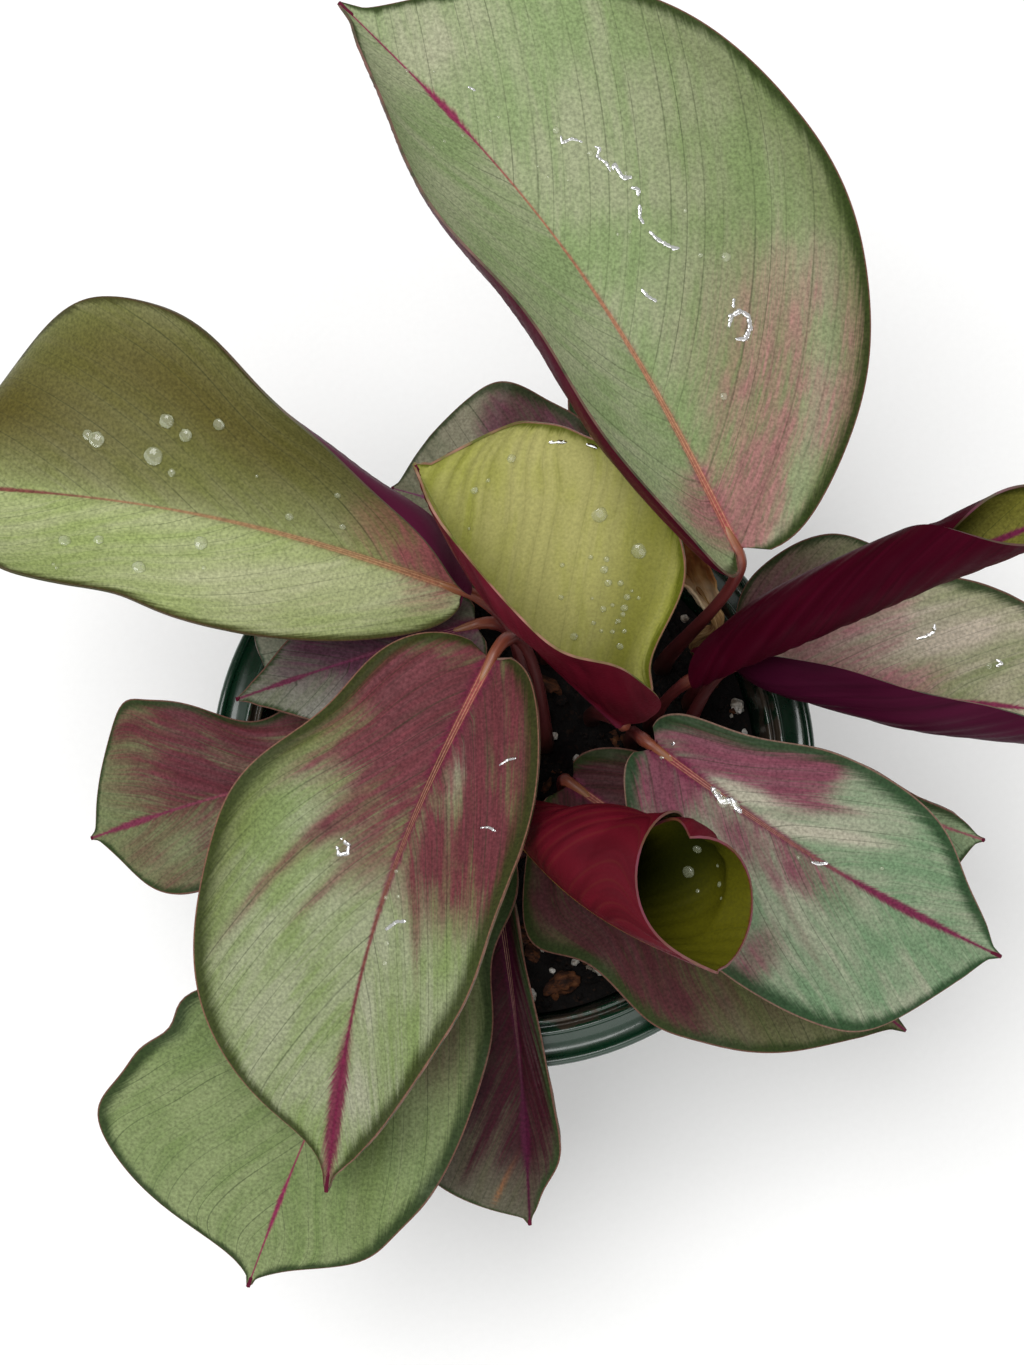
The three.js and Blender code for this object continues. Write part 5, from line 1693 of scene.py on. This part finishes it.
class StalkSettings(bpy.types.PropertyGroup):
    """Sizes and colour of the stalks"""

    foot_radius: FloatProperty(name="Foot radius", description="Stalk where it enters the mix",
                               default=2.4 * MM, unit="LENGTH")
    neck_radius: FloatProperty(name="Neck radius", description="Stalk below the blade",
                               default=1.35 * MM, unit="LENGTH")
    colour: FloatVectorProperty(name="Colour", description="Tint of the stalk's skin",
                                default=linear("5a1c1c"), subtype="COLOR")


class PotSettings(bpy.types.PropertyGroup):
    """Sizes and colour of the pot"""

    rim_radius: FloatProperty(name="Rim radius", description="Outside of the rim's bead",
                              default=float(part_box("pot")[1][0]), unit="LENGTH")
    height: FloatProperty(name="Height", description="Base to the top of the rim",
                          default=float(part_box("pot")[1][2]), unit="LENGTH")
    colour: FloatVectorProperty(name="Colour", description="Colour of the moulded plastic",
                                default=linear("0b2e1c"), subtype="COLOR")


class WaterSettings(bpy.types.PropertyGroup):
    """Water left on the blades"""

    scale: FloatProperty(name="Scale", description="Size of the drops and runs", default=1,
                         min=0.2, max=2)
    seed: IntProperty(name="Seed", description="Start of the random dents", default=3)


class MixSettings(bpy.types.PropertyGroup):
    """What lies on the potting mix"""

    crumbs: IntProperty(name="Crumbs", description="Peat crumbs strewn on the mix",
                        default=900, min=0)
    seed: IntProperty(name="Seed", description="Start of the random places", default=7)


class StageSettings(bpy.types.PropertyGroup):
    """Floor, lights and camera"""

    floor: FloatVectorProperty(name="Floor", description="Colour of the paper sweep",
                               default=linear("fcfcfb"), subtype="COLOR")
    key_power: FloatProperty(name="Key light", description="Power of the overhead softbox",
                             default=15, unit="POWER")
    room_light: FloatProperty(name="Room light", description="Strength of the white room",
                              default=0.6)
    distance: FloatProperty(name="Distance", description="Camera to the rim's middle",
                            default=560 * MM, unit="LENGTH")
    aim_height: FloatProperty(name="Aim height", description="Height the distance is from",
                              default=118 * MM, unit="LENGTH")
    tilt: FloatProperty(name="Tilt", description="Camera's lean from straight down",
                        default=math.radians(10), subtype="ANGLE")
    lens: FloatProperty(name="Lens", description="Focal length in millimetres on 36 mm",
                        default=59.604)
    shift: FloatProperty(name="Shift", description="Sideways shift of the frame",
                         default=-0.00095)


class CALATHEA_OT_pot(bpy.types.Operator):
    """Builds the green nursery pot"""

    bl_idname = "calathea.pot"
    bl_label = "Pot"

    def execute(self, context):
        make_pot(context.scene.calathea_pot)
        return {"FINISHED"}


class CALATHEA_OT_mix(bpy.types.Operator):
    """Fills the pot with mix and strews crumbs, bark and perlite on it"""

    bl_idname = "calathea.mix"
    bl_label = "Potting mix"

    def execute(self, context):
        make_soil()
        make_litter(context.scene.calathea_mix)
        return {"FINISHED"}


class CALATHEA_OT_stalks(bpy.types.Operator):
    """Builds a stalk for every leaf"""

    bl_idname = "calathea.stalks"
    bl_label = "Stalks"

    def execute(self, context):
        settings = context.scene.calathea_stalks
        living = stalk_skin(settings)
        dead = dried_stalk_skin()
        for leaf in LEAVES:
            make_stalk(leaf, settings, dead if leaf["name"] == "dried" else living)
        return {"FINISHED"}


class CALATHEA_OT_blades(bpy.types.Operator):
    """Builds every blade with its veins, flush and margin"""

    bl_idname = "calathea.blades"
    bl_label = "Blades"

    def execute(self, context):
        for leaf in LEAVES:
            make_blade(leaf, context.scene.calathea_blades)
        return {"FINISHED"}


class CALATHEA_OT_water(bpy.types.Operator):
    """Lays drops and runs of water on the blades"""

    bl_idname = "calathea.water"
    bl_label = "Water"

    def execute(self, context):
        make_water(context.scene.calathea_water, context.scene.calathea_blades)
        return {"FINISHED"}


class CALATHEA_OT_stage(bpy.types.Operator):
    """Sets the floor, the lights and the camera"""

    bl_idname = "calathea.stage"
    bl_label = "Stage"

    def execute(self, context):
        set_stage(context.scene.calathea_stage)
        return {"FINISHED"}


class CALATHEA_PT_panel(bpy.types.Panel):
    """Lists the pieces in the sidebar"""

    bl_label = "Calathea"
    bl_idname = "CALATHEA_PT_panel"
    bl_space_type = "VIEW_3D"
    bl_region_type = "UI"
    bl_category = "Calathea"

    def draw(self, context):
        for operator in OPERATORS:
            self.layout.operator(operator.bl_idname)


OPERATORS = (CALATHEA_OT_pot, CALATHEA_OT_mix, CALATHEA_OT_stalks, CALATHEA_OT_blades,
             CALATHEA_OT_water, CALATHEA_OT_stage)
SETTINGS = {
    "calathea_pot": PotSettings, "calathea_mix": MixSettings, "calathea_stalks": StalkSettings,
    "calathea_blades": BladeSettings, "calathea_water": WaterSettings,
    "calathea_stage": StageSettings,
}


def register():
    """Registers the classes and hangs their settings on the scene."""
    for cls in (*SETTINGS.values(), *OPERATORS, CALATHEA_PT_panel):
        bpy.utils.register_class(cls)
    for name, cls in SETTINGS.items():
        setattr(bpy.types.Scene, name, PointerProperty(type=cls))


def unregister():
    """Takes the settings off the scene and the classes out of Blender."""
    for name in SETTINGS:
        delattr(bpy.types.Scene, name)
    for cls in (CALATHEA_PT_panel, *reversed(OPERATORS), *reversed(SETTINGS.values())):
        bpy.utils.unregister_class(cls)


def main():
    """Builds the whole plant on its stage."""
    register()
    bpy.ops.calathea.stage()
    bpy.ops.calathea.pot()
    bpy.ops.calathea.mix()
    bpy.ops.calathea.stalks()
    bpy.ops.calathea.blades()
    bpy.ops.calathea.water()
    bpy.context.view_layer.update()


if __name__ == "__main__":
    main()
